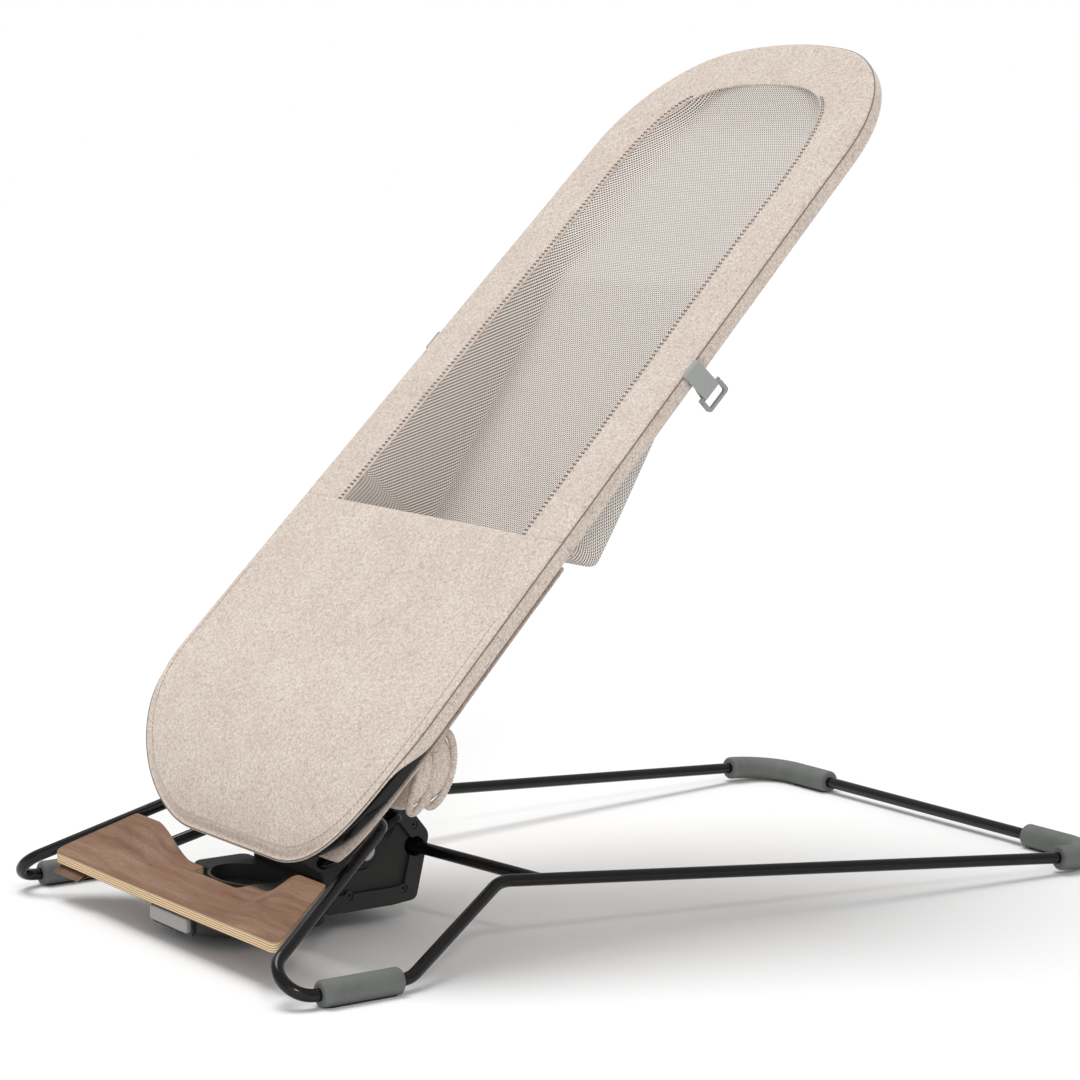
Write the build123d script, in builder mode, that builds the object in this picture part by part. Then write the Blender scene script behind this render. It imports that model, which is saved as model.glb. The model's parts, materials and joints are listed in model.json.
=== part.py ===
from build123d import *
import math
import os

os.makedirs("parts", exist_ok=True)

# Bouncer seat.  Millimetres, +Z up, +Y towards the head end, X across.
# The origin is on the floor under the middle of the base.

# ---- Driving dimensions ------------------------------------------------------

ROD_R = 4.75                      # base rails, 3/8 inch tube
ROD_WALL = 1.2
HOOP_R = 6.0                      # seat hoop tube
HOOP_WALL = 1.2
BAIL_R = 3.0                      # wire bails beside the hub
RUNNING = 0.05                    # radial clearance of a running fit

FLOOR_Z = 9.5                     # rail centre line above the floor
REAR_X, REAR_Y = 222.2, 380.8     # sharp rear corner of the rail
REAR_BEND = 40.0
REAR_RUN = 48.0                   # straight rail replaced by each rear bend
JUNCTION = (165.1, -177.7, 54.3)  # where the down rail turns into the long rail
FOOT_X = 217.0                    # rail under the front foot sleeve
FOOT_FRONT_Y, FOOT_REAR_Y = -363.7, -297.5
TOE = (FOOT_X, -426.3, FLOOR_Z)   # sharp front corner of the rail
TOE_BEND = 20.0
CROSS_Y, CROSS_Z = -243.7, 94.8   # cross rail through the hub
CROSS_CORNER_X = 111.2
BRANCH_Y, BRANCH_Z = -179.9, 59.0  # branch rail at the hub side

PIVOT_Y, PIVOT_Z = -227.7, 63.0   # recline axis
PIVOT_R = 5.0
HUB_HALF = 46.0                   # hub housing, half width
COVER_T = 6.0                     # hub side cover thickness
ARM_X, ARM_T = 54.0, 4.0          # pivot arm plates
BAIL_X = 62.5

SEAT_ORIGIN = (0, -142.4, 297.5)  # a point on the middle of the seat face
SEAT_ANGLE = 45.2                 # seat face above the horizontal
TOP_S = 524.0                     # top of the seat above that point, along the face
TOP_R, TOP_TURN = 380.0, 10.6     # shallow arch
SHOULDER_R, SHOULDER_TURN = 119.0, 77.1
SIDE_TURN = 92.3                  # rest of the half turn, at the foot end
FOOT_ARC_R = 125.0
SIDE_LENGTH = 557.0
FOOT_Z = 69.0                     # lowest edge of the seat cover
CURL_START, CURL_R = -152.0, 225.0  # the foot end curls down from here
COVER_DEPTH = 14.5
CLOTH = 1.7
HOOP_INSET = CLOTH + 0.4 + HOOP_R
MESH_BOTTOM_S = 10.0              # lower edge of the mesh opening

# ---- Frames and shared outlines ----------------------------------------------

COS, SIN = math.cos(math.radians(SEAT_ANGLE)), math.sin(math.radians(SEAT_ANGLE))
FACE_NORMAL = (0, -SIN, COS)


def seat_point(x, s, t):
    """World point from seat coordinates: across, up the face, out of the face."""
    return (x, SEAT_ORIGIN[1] + s * COS - t * SIN, SEAT_ORIGIN[2] + s * SIN + t * COS)


def face_plane(t=0.0):
    """Plane parallel to the seat face, t millimetres in front of it."""
    return Plane(origin=seat_point(0, 0, t), x_dir=(1, 0, 0), z_dir=FACE_NORMAL)


def side_plane(x=0.0):
    """Plane across the seat: local x runs up the face, local y out of it."""
    return Plane(origin=(x, SEAT_ORIGIN[1], SEAT_ORIGIN[2]), x_dir=(0, COS, SIN), z_dir=(1, 0, 0))


def yz_plane(x=0.0):
    """Plane across the object: local x is +Y, local y is +Z."""
    return Plane(origin=(x, 0, 0), x_dir=(0, 1, 0), z_dir=(1, 0, 0))


def half_outline(inset):
    """Right half of the seat outline, moved inwards by inset, from the top to the foot."""
    arch = JernArc((0, TOP_S - inset), (1, 0), TOP_R - inset, -TOP_TURN)
    shoulder = JernArc(arch @ 1, arch % 1, SHOULDER_R - inset, -SHOULDER_TURN)
    side = Line(shoulder @ 1, (shoulder @ 1) + (shoulder % 1) * SIDE_LENGTH)
    foot = JernArc(side @ 1, side % 1, FOOT_ARC_R - inset, -SIDE_TURN)
    Line(foot @ 1, (0, (foot @ 1).Y))


def seat_slab(inset, front, back, low=-330.0, high=560.0):
    """Part of the seat outline between two depths, following the curl at the foot."""
    past = CURL_START - low
    turn = math.degrees(math.asin(min(0.98, past / CURL_R)))
    with BuildPart() as slab:
        with BuildSketch(face_plane()):
            with BuildLine():
                half_outline(inset)
                mirror(about=Plane.YZ)
            make_face()
        extrude(amount=300, both=True)
        with BuildSketch(side_plane()):
            with BuildLine():
                front_line = Line((high, front), (CURL_START, front))
                front_arc = JernArc(front_line @ 1, (-1, 0), CURL_R + front, turn)
                back_line = Line((high, back), (CURL_START, back))
                back_arc = JernArc(back_line @ 1, (-1, 0), CURL_R + back, turn)
                Line(front_arc @ 1, back_arc @ 1)
                Line((high, front), (high, back))
            make_face()
        extrude(amount=250, both=True, mode=Mode.INTERSECT)
    return slab.part


def finish_part(part, name):
    part.label = name
    export_step(part, f"parts/{name}.step")


SIDES = (("right", 1), ("left", -1))

# ---- Base rails --------------------------------------------------------------

CROSS_END_X = HUB_HALF + COVER_T - 2
LONG_START = Vector(JUNCTION)
LONG_END = Vector(REAR_X, REAR_Y, FLOOR_Z)
LONG_DIR = (LONG_END - LONG_START).normalized()
WELD = LONG_START + LONG_DIR * 34
SLEEVE_MID_Y = (FOOT_FRONT_Y + FOOT_REAR_Y) / 2


def at_side(side, point):
    return (side * point[0], point[1], point[2])


for side_name, side in SIDES:
    # Front rail: out of the hub, down the footrest edge, round the toe to the foot sleeve.
    with BuildPart() as front_rail:
        with BuildLine():
            path = FilletPolyline(
                at_side(side, (CROSS_END_X, CROSS_Y, CROSS_Z)),
                at_side(side, (CROSS_CORNER_X, CROSS_Y, CROSS_Z)),
                at_side(side, TOE),
                at_side(side, (FOOT_X, SLEEVE_MID_Y, FLOOR_Z)),
                radius=[16.0, TOE_BEND],
            )
        with BuildSketch(Plane(origin=path @ 0, z_dir=path % 0)):
            Circle(ROD_R)
            Circle(ROD_R - ROD_WALL, mode=Mode.SUBTRACT)
        sweep(path=path)
    finish_part(front_rail.part, f"front_rail_{side_name}")

    # Down rail: from the foot sleeve up to the bend above the floor.
    with BuildPart() as down_rail:
        with BuildLine():
            path = FilletPolyline(
                at_side(side, (FOOT_X, SLEEVE_MID_Y + 0.2, FLOOR_Z)),
                at_side(side, (FOOT_X, FOOT_REAR_Y + 9, FLOOR_Z)),
                at_side(side, JUNCTION),
                at_side(side, tuple(LONG_START + LONG_DIR * 24)),
                radius=[26.0, 26.0],
            )
        with BuildSketch(Plane(origin=path @ 0, z_dir=path % 0)):
            Circle(ROD_R)
            Circle(ROD_R - ROD_WALL, mode=Mode.SUBTRACT)
        sweep(path=path)
    finish_part(down_rail.part, f"down_rail_{side_name}")

    # Long rail: straight to the middle of the rear corner sleeve.
    with BuildPart() as long_rail:
        with BuildLine():
            path = Line(
                at_side(side, tuple(LONG_START + LONG_DIR * 24.2)),
                at_side(side, tuple(LONG_END - LONG_DIR * (REAR_RUN + 0.2))),
            )
        with BuildSketch(Plane(origin=path @ 0, z_dir=path % 0)):
            Circle(ROD_R)
            Circle(ROD_R - ROD_WALL, mode=Mode.SUBTRACT)
        sweep(path=path)
    finish_part(long_rail.part, f"long_rail_{side_name}")

    # Branch rail: welded to the long rail, carries the back of the hub.
    with BuildPart() as branch_rail:
        with BuildLine():
            path = Line(
                at_side(side, tuple(WELD)),
                at_side(side, (CROSS_END_X - 6, BRANCH_Y, BRANCH_Z)),
            )
        with BuildSketch(Plane(origin=path @ 0, z_dir=path % 0)):
            Circle(ROD_R)
            Circle(ROD_R - ROD_WALL, mode=Mode.SUBTRACT)
        sweep(path=path)
        with BuildLine(mode=Mode.PRIVATE) as rail_axis:
            Line(
                at_side(side, tuple(LONG_START + LONG_DIR * 10)),
                at_side(side, tuple(LONG_START + LONG_DIR * 60)),
            )
        with BuildSketch(Plane(origin=rail_axis.line @ 0, z_dir=rail_axis.line % 0)):
            Circle(ROD_R + 0.02)
        sweep(path=rail_axis.line, mode=Mode.SUBTRACT)
    finish_part(branch_rail.part, f"branch_rail_{side_name}")

# Rear rail: across the head end, with both corners bent inside the rear sleeves.
with BuildPart() as rear_rail:
    with BuildLine():
        start = LONG_END - LONG_DIR * REAR_RUN
        path = FilletPolyline(
            tuple(start),
            tuple(LONG_END),
            at_side(-1, tuple(LONG_END)),
            at_side(-1, tuple(start)),
            radius=REAR_BEND,
        )
    with BuildSketch(Plane(origin=path @ 0, z_dir=path % 0)):
        Circle(ROD_R)
        Circle(ROD_R - ROD_WALL, mode=Mode.SUBTRACT)
    sweep(path=path)
finish_part(rear_rail.part, "rear_rail")

# Cross rail: joins the two front rails inside the hub.
with BuildPart() as cross_rail:
    with BuildSketch(Plane(origin=(-CROSS_END_X + 0.2, CROSS_Y, CROSS_Z), z_dir=(1, 0, 0))):
        Circle(ROD_R)
        Circle(ROD_R - ROD_WALL, mode=Mode.SUBTRACT)
    extrude(amount=2 * CROSS_END_X - 0.4)
finish_part(cross_rail.part, "cross_rail")

# ---- Foot sleeves -------------------------------------------------------------

SLEEVE_R = 10.0
SOLE_TOP = 1.6
SOLE_WIDTH = 11.0
REAR_SLEEVE_SIDE, REAR_SLEEVE_CROSS = 40.0, 92.0   # lengths from the sharp corner

for side_name, side in SIDES:
    # Straight rubber sleeve with a flat underside, on the front rail joint.
    with BuildPart() as front_sleeve:
        with BuildSketch(Plane(origin=(side * FOOT_X, FOOT_FRONT_Y, FLOOR_Z), z_dir=(0, 1, 0))):
            Circle(SLEEVE_R)
        extrude(amount=FOOT_REAR_Y - FOOT_FRONT_Y)
        fillet(front_sleeve.edges().filter_by(GeomType.CIRCLE), radius=3.0)
        with BuildSketch(Plane(origin=(side * FOOT_X, FOOT_FRONT_Y, FLOOR_Z), z_dir=(0, 1, 0))):
            Circle(ROD_R + RUNNING)
        extrude(amount=FOOT_REAR_Y - FOOT_FRONT_Y, mode=Mode.SUBTRACT)
        split(bisect_by=Plane.XY.offset(SOLE_TOP), keep=Keep.TOP)
    finish_part(front_sleeve.part, f"front_foot_{side_name}")

    # Bent rubber sleeve round the rear corner.
    with BuildPart() as rear_sleeve:
        with BuildLine():
            corner = Vector(*at_side(side, tuple(LONG_END)))
            along = Vector(*at_side(side, tuple(LONG_DIR)))
            path = FilletPolyline(
                tuple(corner - along * (REAR_SLEEVE_SIDE + 8)),
                tuple(corner),
                tuple(corner - Vector(side, 0, 0) * REAR_SLEEVE_CROSS),
                radius=REAR_BEND,
            )
        with BuildSketch(Plane(origin=path @ 0, z_dir=path % 0)):
            Circle(SLEEVE_R)
        sweep(path=path)
        fillet(rear_sleeve.faces().filter_by(GeomType.PLANE).edges(), radius=2.5)
        with BuildSketch(Plane(origin=path @ 0, z_dir=path % 0)):
            Circle(ROD_R + RUNNING)
        sweep(path=path, mode=Mode.SUBTRACT)
        split(bisect_by=Plane.XY.offset(SOLE_TOP), keep=Keep.TOP)
    finish_part(rear_sleeve.part, f"rear_foot_{side_name}")

# Anti-slip strips glued under the four sleeves.
with BuildPart() as soles:
    with BuildSketch():
        with Locations((FOOT_X, SLEEVE_MID_Y), (-FOOT_X, SLEEVE_MID_Y)):
            RectangleRounded(SOLE_WIDTH, FOOT_REAR_Y - FOOT_FRONT_Y - 8, 4)
        with Locations((REAR_X - 66, REAR_Y), (66 - REAR_X, REAR_Y)):
            RectangleRounded(42, SOLE_WIDTH, 4)
    extrude(amount=SOLE_TOP)
finish_part(soles.part, "foot_soles")

# ---- Hub ----------------------------------------------------------------------

HUB_BOTTOM, HUB_BASE_TOP, DECK_TOP = 10.0, 28.0, 43.5
HUB_FRONT_Y = -360.0
HUB_FRONT_HALF, DECK_HALF = 60.0, 63.0
DECK_FRONT_Y, DECK_REAR_Y = -311.0, -258.0
WALL = 2.5
DISH_Y, DISH_RX, DISH_RY, DISH_DEPTH = -297.0, 37.0, 24.0, 13.0
SCREW_R, SCREW_HEAD_R = 1.9, 3.4
COVER_SCREWS = ((-180.5, 76.0), (-190.0, 27.5), (-238.0, 28.5))
BUTTON_HALF, BUTTON_LOW, BUTTON_HIGH = 29.0, 12.5, 24.0
BUTTON_FACE_Y = -365.5
LEVER_PIN_Y, LEVER_PIN_Z = -250.0, 31.0
BAR_Z, BAR_HALF, BAR_HEIGHT = 21.5, 5.0, 5.0   # push bar behind the button
BAR_END_Y = -257.0
NOSE_Z, NOSE_HEIGHT = 21.0, 2.0   # thin nose of the bar, which pushes the lever
NOSE_GAP = 0.35
LEVER_FOOT_R = 2.5


def housing_profile(inset):
    """Side view of the rear of the hub, moved inwards by inset."""
    with BuildSketch() as profile:
        with BuildLine():
            FilletPolyline(
                (DECK_REAR_Y - 4, 15.5),
                (DECK_REAR_Y - 4, 62),
                (-257, 104.5),
                (-226, 107),
                (-190, 98),
                (-166, 68),
                (-178, 17.5),
                (-200, 15.5),
                radius=[8.0, 8.0, 18.0, 24.0, 20.0, 10.0, 6.0, 1.0],
                close=True,
            )
        make_face()
        if inset:
            offset(amount=-inset, mode=Mode.REPLACE)
    return profile.sketch


# Lower shell: an open tray under the front half.
with BuildPart() as hub_base:
    with BuildSketch(Plane.XY.offset(HUB_BOTTOM)):
        with BuildLine():
            FilletPolyline(
                (-34, HUB_FRONT_Y),
                (34, HUB_FRONT_Y),
                (HUB_FRONT_HALF, -334),
                (HUB_FRONT_HALF, DECK_REAR_Y - 4.3),
                (-HUB_FRONT_HALF, DECK_REAR_Y - 4.3),
                (-HUB_FRONT_HALF, -334),
                radius=[14, 14, 16, 6, 6, 16],
                close=True,
            )
        make_face()
    extrude(amount=HUB_BASE_TOP - HUB_BOTTOM)
    fillet(hub_base.faces().sort_by(Axis.Z)[0].edges(), radius=5.5)
    offset(amount=-WALL, openings=hub_base.faces().sort_by(Axis.Z)[-1])
    with BuildSketch(Plane.XZ.offset(-HUB_FRONT_Y - 12)):
        with Locations((0, (BUTTON_LOW + BUTTON_HIGH) / 2)):
            RectangleRounded(2 * BUTTON_HALF + 3, BUTTON_HIGH - BUTTON_LOW + 2, 3)
    extrude(amount=20, mode=Mode.SUBTRACT)
    with BuildSketch(Plane.XZ.offset(-DECK_REAR_Y + 10)):
        with Locations((0, BAR_Z)):
            Rectangle(2 * BAR_HALF + 1, BAR_HEIGHT + 1)
    extrude(amount=-12, mode=Mode.SUBTRACT)
finish_part(hub_base.part, "hub_base")

# Deck: the top of the front half, a hollow cover with an oval dish.
with BuildPart() as hub_deck:
    with BuildSketch(Plane.XY.offset(HUB_BASE_TOP + 0.1)):
        with Locations((0, (DECK_FRONT_Y + DECK_REAR_Y - 4.3) / 2)):
            RectangleRounded(2 * DECK_HALF, DECK_REAR_Y - 4.3 - DECK_FRONT_Y, 8)
    extrude(amount=DECK_TOP - HUB_BASE_TOP - 0.1)
    fillet(hub_deck.faces().sort_by(Axis.Z)[-1].edges(), radius=2.5)
    with BuildSketch(Plane.XY.offset(HUB_BASE_TOP)):
        with Locations((0, (DECK_FRONT_Y + DECK_REAR_Y - 4.3) / 2)):
            RectangleRounded(2 * (DECK_HALF - WALL), DECK_REAR_Y - 4.3 - DECK_FRONT_Y - 2 * WALL, 6)
    extrude(amount=DECK_TOP - HUB_BASE_TOP - WALL, mode=Mode.SUBTRACT)
    with BuildSketch(Plane.XY.offset(DECK_TOP - DISH_DEPTH)):
        with Locations((0, DISH_Y)):
            Ellipse(DISH_RX + WALL, DISH_RY + WALL)
    extrude(amount=DISH_DEPTH - 1)
    with BuildSketch(Plane.XY.offset(DECK_TOP - DISH_DEPTH + WALL)):
        with Locations((0, DISH_Y)):
            Ellipse(DISH_RX, DISH_RY)
    extrude(amount=DISH_DEPTH, mode=Mode.SUBTRACT)
finish_part(hub_deck.part, "hub_deck")

# Housing: the raised rear body round the recline pivot, open at both sides.
with BuildPart() as hub_housing:
    with BuildSketch(yz_plane()):
        add(housing_profile(0))
    extrude(amount=HUB_HALF, both=True)
    with BuildSketch(yz_plane()):
        add(housing_profile(3))
    extrude(amount=HUB_HALF, both=True, mode=Mode.SUBTRACT)
    with BuildSketch(Plane.XZ.offset(-DECK_REAR_Y + 10)):
        with Locations((0, BAR_Z)):
            Rectangle(2 * BAR_HALF + 1, BAR_HEIGHT + 1)
    extrude(amount=-15, mode=Mode.SUBTRACT)
finish_part(hub_housing.part, "hub_housing")

# Side covers: a flat rim round a sunk panel with a ring boss at the pivot.
for side_name, side in SIDES:
    with BuildPart() as side_cover:
        with BuildSketch(yz_plane(side * (HUB_HALF + 0.1))):
            add(housing_profile(0))
        extrude(amount=side * (COVER_T - 0.1))
        fillet(side_cover.faces().sort_by(Axis.X)[-1 if side > 0 else 0].edges(), radius=1.5)
        with BuildSketch(yz_plane(side * (HUB_HALF + COVER_T))):
            add(housing_profile(14))
        extrude(amount=-side * 4.0, mode=Mode.SUBTRACT)
        with BuildSketch(yz_plane(side * (HUB_HALF + 1))):
            with Locations((PIVOT_Y, PIVOT_Z)):
                Circle(20)
                Circle(17, mode=Mode.SUBTRACT)
        extrude(amount=side * 3)
        with BuildSketch(yz_plane(side * HUB_HALF)):
            with Locations((PIVOT_Y, PIVOT_Z)):
                Circle(PIVOT_R + RUNNING)
            with Locations(*COVER_SCREWS):
                Circle(SCREW_R + RUNNING)
            with Locations((CROSS_Y, CROSS_Z)):
                Circle(ROD_R + 1)
            with Locations((BRANCH_Y + 1, BRANCH_Z)):
                Circle(ROD_R + 3)
        extrude(amount=side * COVER_T, mode=Mode.SUBTRACT)
        with BuildSketch(yz_plane(side * (HUB_HALF + COVER_T))):
            with Locations(*COVER_SCREWS):
                Circle(SCREW_HEAD_R + 0.2)
        extrude(amount=-side * 3.2, mode=Mode.SUBTRACT)
    finish_part(side_cover.part, f"hub_cover_{side_name}")

# Cover screws: six socket screws, three a side.
with BuildPart() as cover_screws:
    for side_name, side in SIDES:
        with BuildSketch(yz_plane(side * (HUB_HALF + COVER_T - 3.1))):
            with Locations(*COVER_SCREWS):
                Circle(SCREW_HEAD_R)
        extrude(amount=side * 2.2)
        with BuildSketch(yz_plane(side * (HUB_HALF + COVER_T - 3.1))):
            with Locations(*COVER_SCREWS):
                Circle(SCREW_R)
        extrude(amount=-side * 16)
        with BuildSketch(yz_plane(side * (HUB_HALF + COVER_T - 0.9))):
            with Locations(*COVER_SCREWS):
                RegularPolygon(1.5, 6)
        extrude(amount=-side * 1.6, mode=Mode.SUBTRACT)
finish_part(cover_screws.part, "hub_cover_screws")

# ---- Recline pivot and its lock -----------------------------------------------

DISC_R, DISC_HALF = 24.0, 4.0
CLAMP_POINT = (-265.7, 57.0)
BAIL_POINT = (-200.5, 86.5)
HOOP_BAR_S, HOOP_BAR_T = -268.5, -42.6

# Shaft through the hub, fixed to both pivot arms.
with BuildPart() as pivot_shaft:
    with BuildSketch(yz_plane(-ARM_X + 0.1)):
        with Locations((PIVOT_Y, PIVOT_Z)):
            Circle(PIVOT_R)
    extrude(amount=2 * ARM_X - 0.2)
finish_part(pivot_shaft.part, "pivot_shaft")

# Brake disc on the middle of the shaft.
with BuildPart() as brake_disc:
    with BuildSketch(yz_plane()):
        with Locations((PIVOT_Y, PIVOT_Z)):
            Circle(DISC_R)
            Circle(PIVOT_R + 0.02, mode=Mode.SUBTRACT)
            with PolarLocations(15, 6):
                Circle(3, mode=Mode.SUBTRACT)
    extrude(amount=DISC_HALF, both=True)
finish_part(brake_disc.part, "brake_disc")

# Bushes in the side covers.
with BuildPart() as pivot_bushes:
    for side_name, side in SIDES:
        with BuildSketch(yz_plane(side * (HUB_HALF - 8))):
            with Locations((PIVOT_Y, PIVOT_Z)):
                Circle(PIVOT_R + 3)
                Circle(PIVOT_R + RUNNING, mode=Mode.SUBTRACT)
        extrude(amount=side * 8)
finish_part(pivot_bushes.part, "pivot_bushes")

bar_y, bar_z = seat_point(0, HOOP_BAR_S, HOOP_BAR_T)[1:]


def link_plate(*circles):
    """Flat link drawn round a chain of circles, each given as (y, z, radius)."""
    with BuildSketch() as plate:
        for first, second in zip(circles[:-1], circles[1:]):
            with BuildSketch() as span:
                with Locations(first[0:2]):
                    Circle(first[2])
                with Locations(second[0:2]):
                    Circle(second[2])
                make_hull()
    return plate.sketch


for side_name, side in SIDES:
    # Arm plate: from behind the pivot, past it, down to the clamp and up to the hoop bar.
    with BuildPart() as pivot_arm:
        with BuildSketch(yz_plane(side * ARM_X)):
            add(link_plate(
                (*BAIL_POINT, 4.5),
                (PIVOT_Y, PIVOT_Z, 13),
                (*CLAMP_POINT, 6),
                (bar_y + 5, bar_z - 1, 5),
            ))
        extrude(amount=side * ARM_T)
        with BuildSketch(yz_plane(side * ARM_X)):
            with Locations((bar_y, bar_z)):
                Circle(HOOP_R + 0.02)
            with Locations(BAIL_POINT, CLAMP_POINT):
                Circle(BAIL_R + RUNNING)
        extrude(amount=side * ARM_T, mode=Mode.SUBTRACT)
        with BuildSketch(yz_plane(side * ARM_X)):
            with Locations((bar_y - 15, bar_z)):
                Rectangle(30, 60)
        extrude(amount=side * ARM_T, mode=Mode.SUBTRACT)
    finish_part(pivot_arm.part, f"pivot_arm_{side_name}")

    # Wire bail outside the arm, both ends turned in through the plate.
    with BuildPart() as bail:
        with BuildLine():
            path = FilletPolyline(
                at_side(side, (ARM_X + 0.2, *CLAMP_POINT)),
                at_side(side, (BAIL_X + 2, *CLAMP_POINT)),
                at_side(side, (BAIL_X + 2, *BAIL_POINT)),
                at_side(side, (ARM_X + 0.2, *BAIL_POINT)),
                radius=5.5,
            )
        with BuildSketch(Plane(origin=path @ 0, z_dir=path % 0)):
            Circle(BAIL_R)
        sweep(path=path)
    finish_part(bail.part, f"bail_{side_name}")

    # Cap nut on the end of the shaft.
    with BuildPart() as cap_nut:
        with BuildSketch(yz_plane(side * (ARM_X + ARM_T))):
            with Locations((PIVOT_Y, PIVOT_Z)):
                Circle(8)
        extrude(amount=side * 1.8)
        fillet(cap_nut.faces().sort_by(Axis.X)[-1 if side > 0 else 0].edges(), radius=1.2)
    finish_part(cap_nut.part, f"pivot_cap_{side_name}")

# Brake lever: a shoe in front of the disc, and a foot that the button pushes.
SHOE_GAP = 0.5
with BuildPart() as brake_lever:
    with BuildSketch(yz_plane(-6)):
        add(link_plate((LEVER_PIN_Y - 1, 47, 4), (LEVER_PIN_Y, LEVER_PIN_Z, 4.5), (LEVER_PIN_Y, BAR_Z, LEVER_FOOT_R)))
        with Locations((PIVOT_Y, PIVOT_Z)):
            Circle(DISC_R + SHOE_GAP, mode=Mode.SUBTRACT)
        with Locations((LEVER_PIN_Y, LEVER_PIN_Z)):
            Circle(2 + RUNNING, mode=Mode.SUBTRACT)
    extrude(amount=12)
finish_part(brake_lever.part, "brake_lever")

with BuildPart() as lever_pin:
    with BuildSketch(yz_plane(-20)):
        with Locations((LEVER_PIN_Y, LEVER_PIN_Z)):
            Circle(2)
    extrude(amount=40)
finish_part(lever_pin.part, "lever_pin")

# Two lugs hold the lever pin.
with BuildPart() as lever_lugs:
    for x in (-17.8, 12.8):
        with BuildSketch(yz_plane(x)):
            with Locations((LEVER_PIN_Y, (LEVER_PIN_Z + 23.7) / 2)):
                Rectangle(9, LEVER_PIN_Z + 5 - 18.7)
            with Locations((LEVER_PIN_Y, LEVER_PIN_Z)):
                Circle(2.02, mode=Mode.SUBTRACT)
        extrude(amount=5)
finish_part(lever_lugs.part, "lever_lugs")

# Torsion spring on the lever pin.
with BuildPart() as lever_spring:
    with BuildLine():
        coil = Helix(
            pitch=1.3, height=5.2, radius=3.2, center=(6.5, LEVER_PIN_Y, LEVER_PIN_Z), direction=(1, 0, 0)
        )
    with BuildSketch(Plane(origin=coil @ 0, z_dir=coil % 0)):
        Circle(0.5)
    sweep(path=coil, is_frenet=True)
finish_part(lever_spring.part, "lever_spring")

# Recline button: a wide light key on a push bar.
with BuildPart() as button:
    with BuildSketch(Plane.XZ.offset(-BUTTON_FACE_Y)):
        with Locations((0, (BUTTON_LOW + BUTTON_HIGH) / 2)):
            RectangleRounded(2 * BUTTON_HALF, BUTTON_HIGH - BUTTON_LOW, 2.5)
    extrude(amount=-12)
    fillet(button.faces().sort_by(Axis.Y)[0].edges(), radius=1.5)
    with BuildSketch(Plane.XZ.offset(-BUTTON_FACE_Y - 12)):
        with Locations((0, BAR_Z)):
            Rectangle(2 * BAR_HALF, BAR_HEIGHT)
    extrude(amount=-(BAR_END_Y - BUTTON_FACE_Y - 12))
    with BuildSketch(Plane.XZ.offset(-BAR_END_Y)):
        with Locations((0, NOSE_Z)):
            Rectangle(2 * BAR_HALF, NOSE_HEIGHT)
    extrude(amount=-(LEVER_PIN_Y - LEVER_FOOT_R - NOSE_GAP - BAR_END_Y))
finish_part(button.part, "recline_button")

# Dark frame round the button.
with BuildPart() as bezel:
    with BuildSketch(Plane.XZ.offset(-HUB_FRONT_Y + 2)):
        with Locations((0, (BUTTON_LOW + BUTTON_HIGH) / 2)):
            RectangleRounded(2 * BUTTON_HALF + 6, BUTTON_HIGH - BUTTON_LOW + 5, 4)
            RectangleRounded(2 * BUTTON_HALF + 0.8, BUTTON_HIGH - BUTTON_LOW + 0.8, 2.7, mode=Mode.SUBTRACT)
    extrude(amount=-1.9)
finish_part(bezel.part, "button_frame")

# ---- Footrest -----------------------------------------------------------------

PLY_T = 8.0
PLY_FRONT_Y, PLY_REAR_Y = -372.7, -314.0
PLY_FRONT_HALF, PLY_REAR_HALF = 180.0, 145.0
PLY_FRONT_Z, PLY_WING_Z, PLY_TROUGH_Z = 37.5, 66.0, 44.0
PLY_FRONT_DIP = 0.5               # the middle of the front edge sits this much low
CUTOUT_HALF, CUTOUT_Y = 34.0, -325.0


def ply_at(y):
    """Half width, wing height and trough height of the footrest at one place."""
    part = (y - PLY_FRONT_Y) / (PLY_REAR_Y - PLY_FRONT_Y)
    half = PLY_FRONT_HALF + (PLY_REAR_HALF - PLY_FRONT_HALF) * part
    wing = PLY_FRONT_Z + (PLY_WING_Z - PLY_FRONT_Z) * part
    trough = PLY_FRONT_Z - PLY_FRONT_DIP + (PLY_TROUGH_Z - PLY_FRONT_Z + PLY_FRONT_DIP) * part
    return half, wing, trough


with BuildPart() as footrest:
    for y in (PLY_FRONT_Y, (PLY_FRONT_Y + PLY_REAR_Y) / 2, PLY_REAR_Y):
        half, wing, trough = ply_at(y)
        crest = [(-half, wing), (-0.74 * half, wing), (-0.4 * half, trough)]
        crest += [(0.4 * half, trough), (0.74 * half, wing), (half, wing)]
        with BuildSketch(Plane(origin=(0, y, 0), x_dir=(1, 0, 0), z_dir=(0, -1, 0))):
            with BuildLine():
                Polyline(*crest)
                Polyline(*[(x, z - PLY_T) for x, z in crest])
                Line(crest[0], (-half, wing - PLY_T))
                Line(crest[-1], (half, wing - PLY_T))
            make_face()
    loft(ruled=True)
    with BuildSketch(Plane.XY):
        with Locations((0, CUTOUT_Y + 30)):
            RectangleRounded(2 * CUTOUT_HALF, 60, 7)
    extrude(amount=120, mode=Mode.SUBTRACT)
    ends = footrest.edges().filter_by(Axis.Z)
    fillet(ends.group_by(Axis.Y)[0], radius=5)
finish_part(footrest.part, "footrest_panel")

# Tabs welded under the front rails carry the footrest, with one screw each.
TAB_PLACES = (-352.0, -326.0)
TAB_T = 2.5
TAB_SLOPE = math.degrees(math.atan2(PLY_WING_Z - PLY_FRONT_Z, PLY_REAR_Y - PLY_FRONT_Y))


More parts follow.
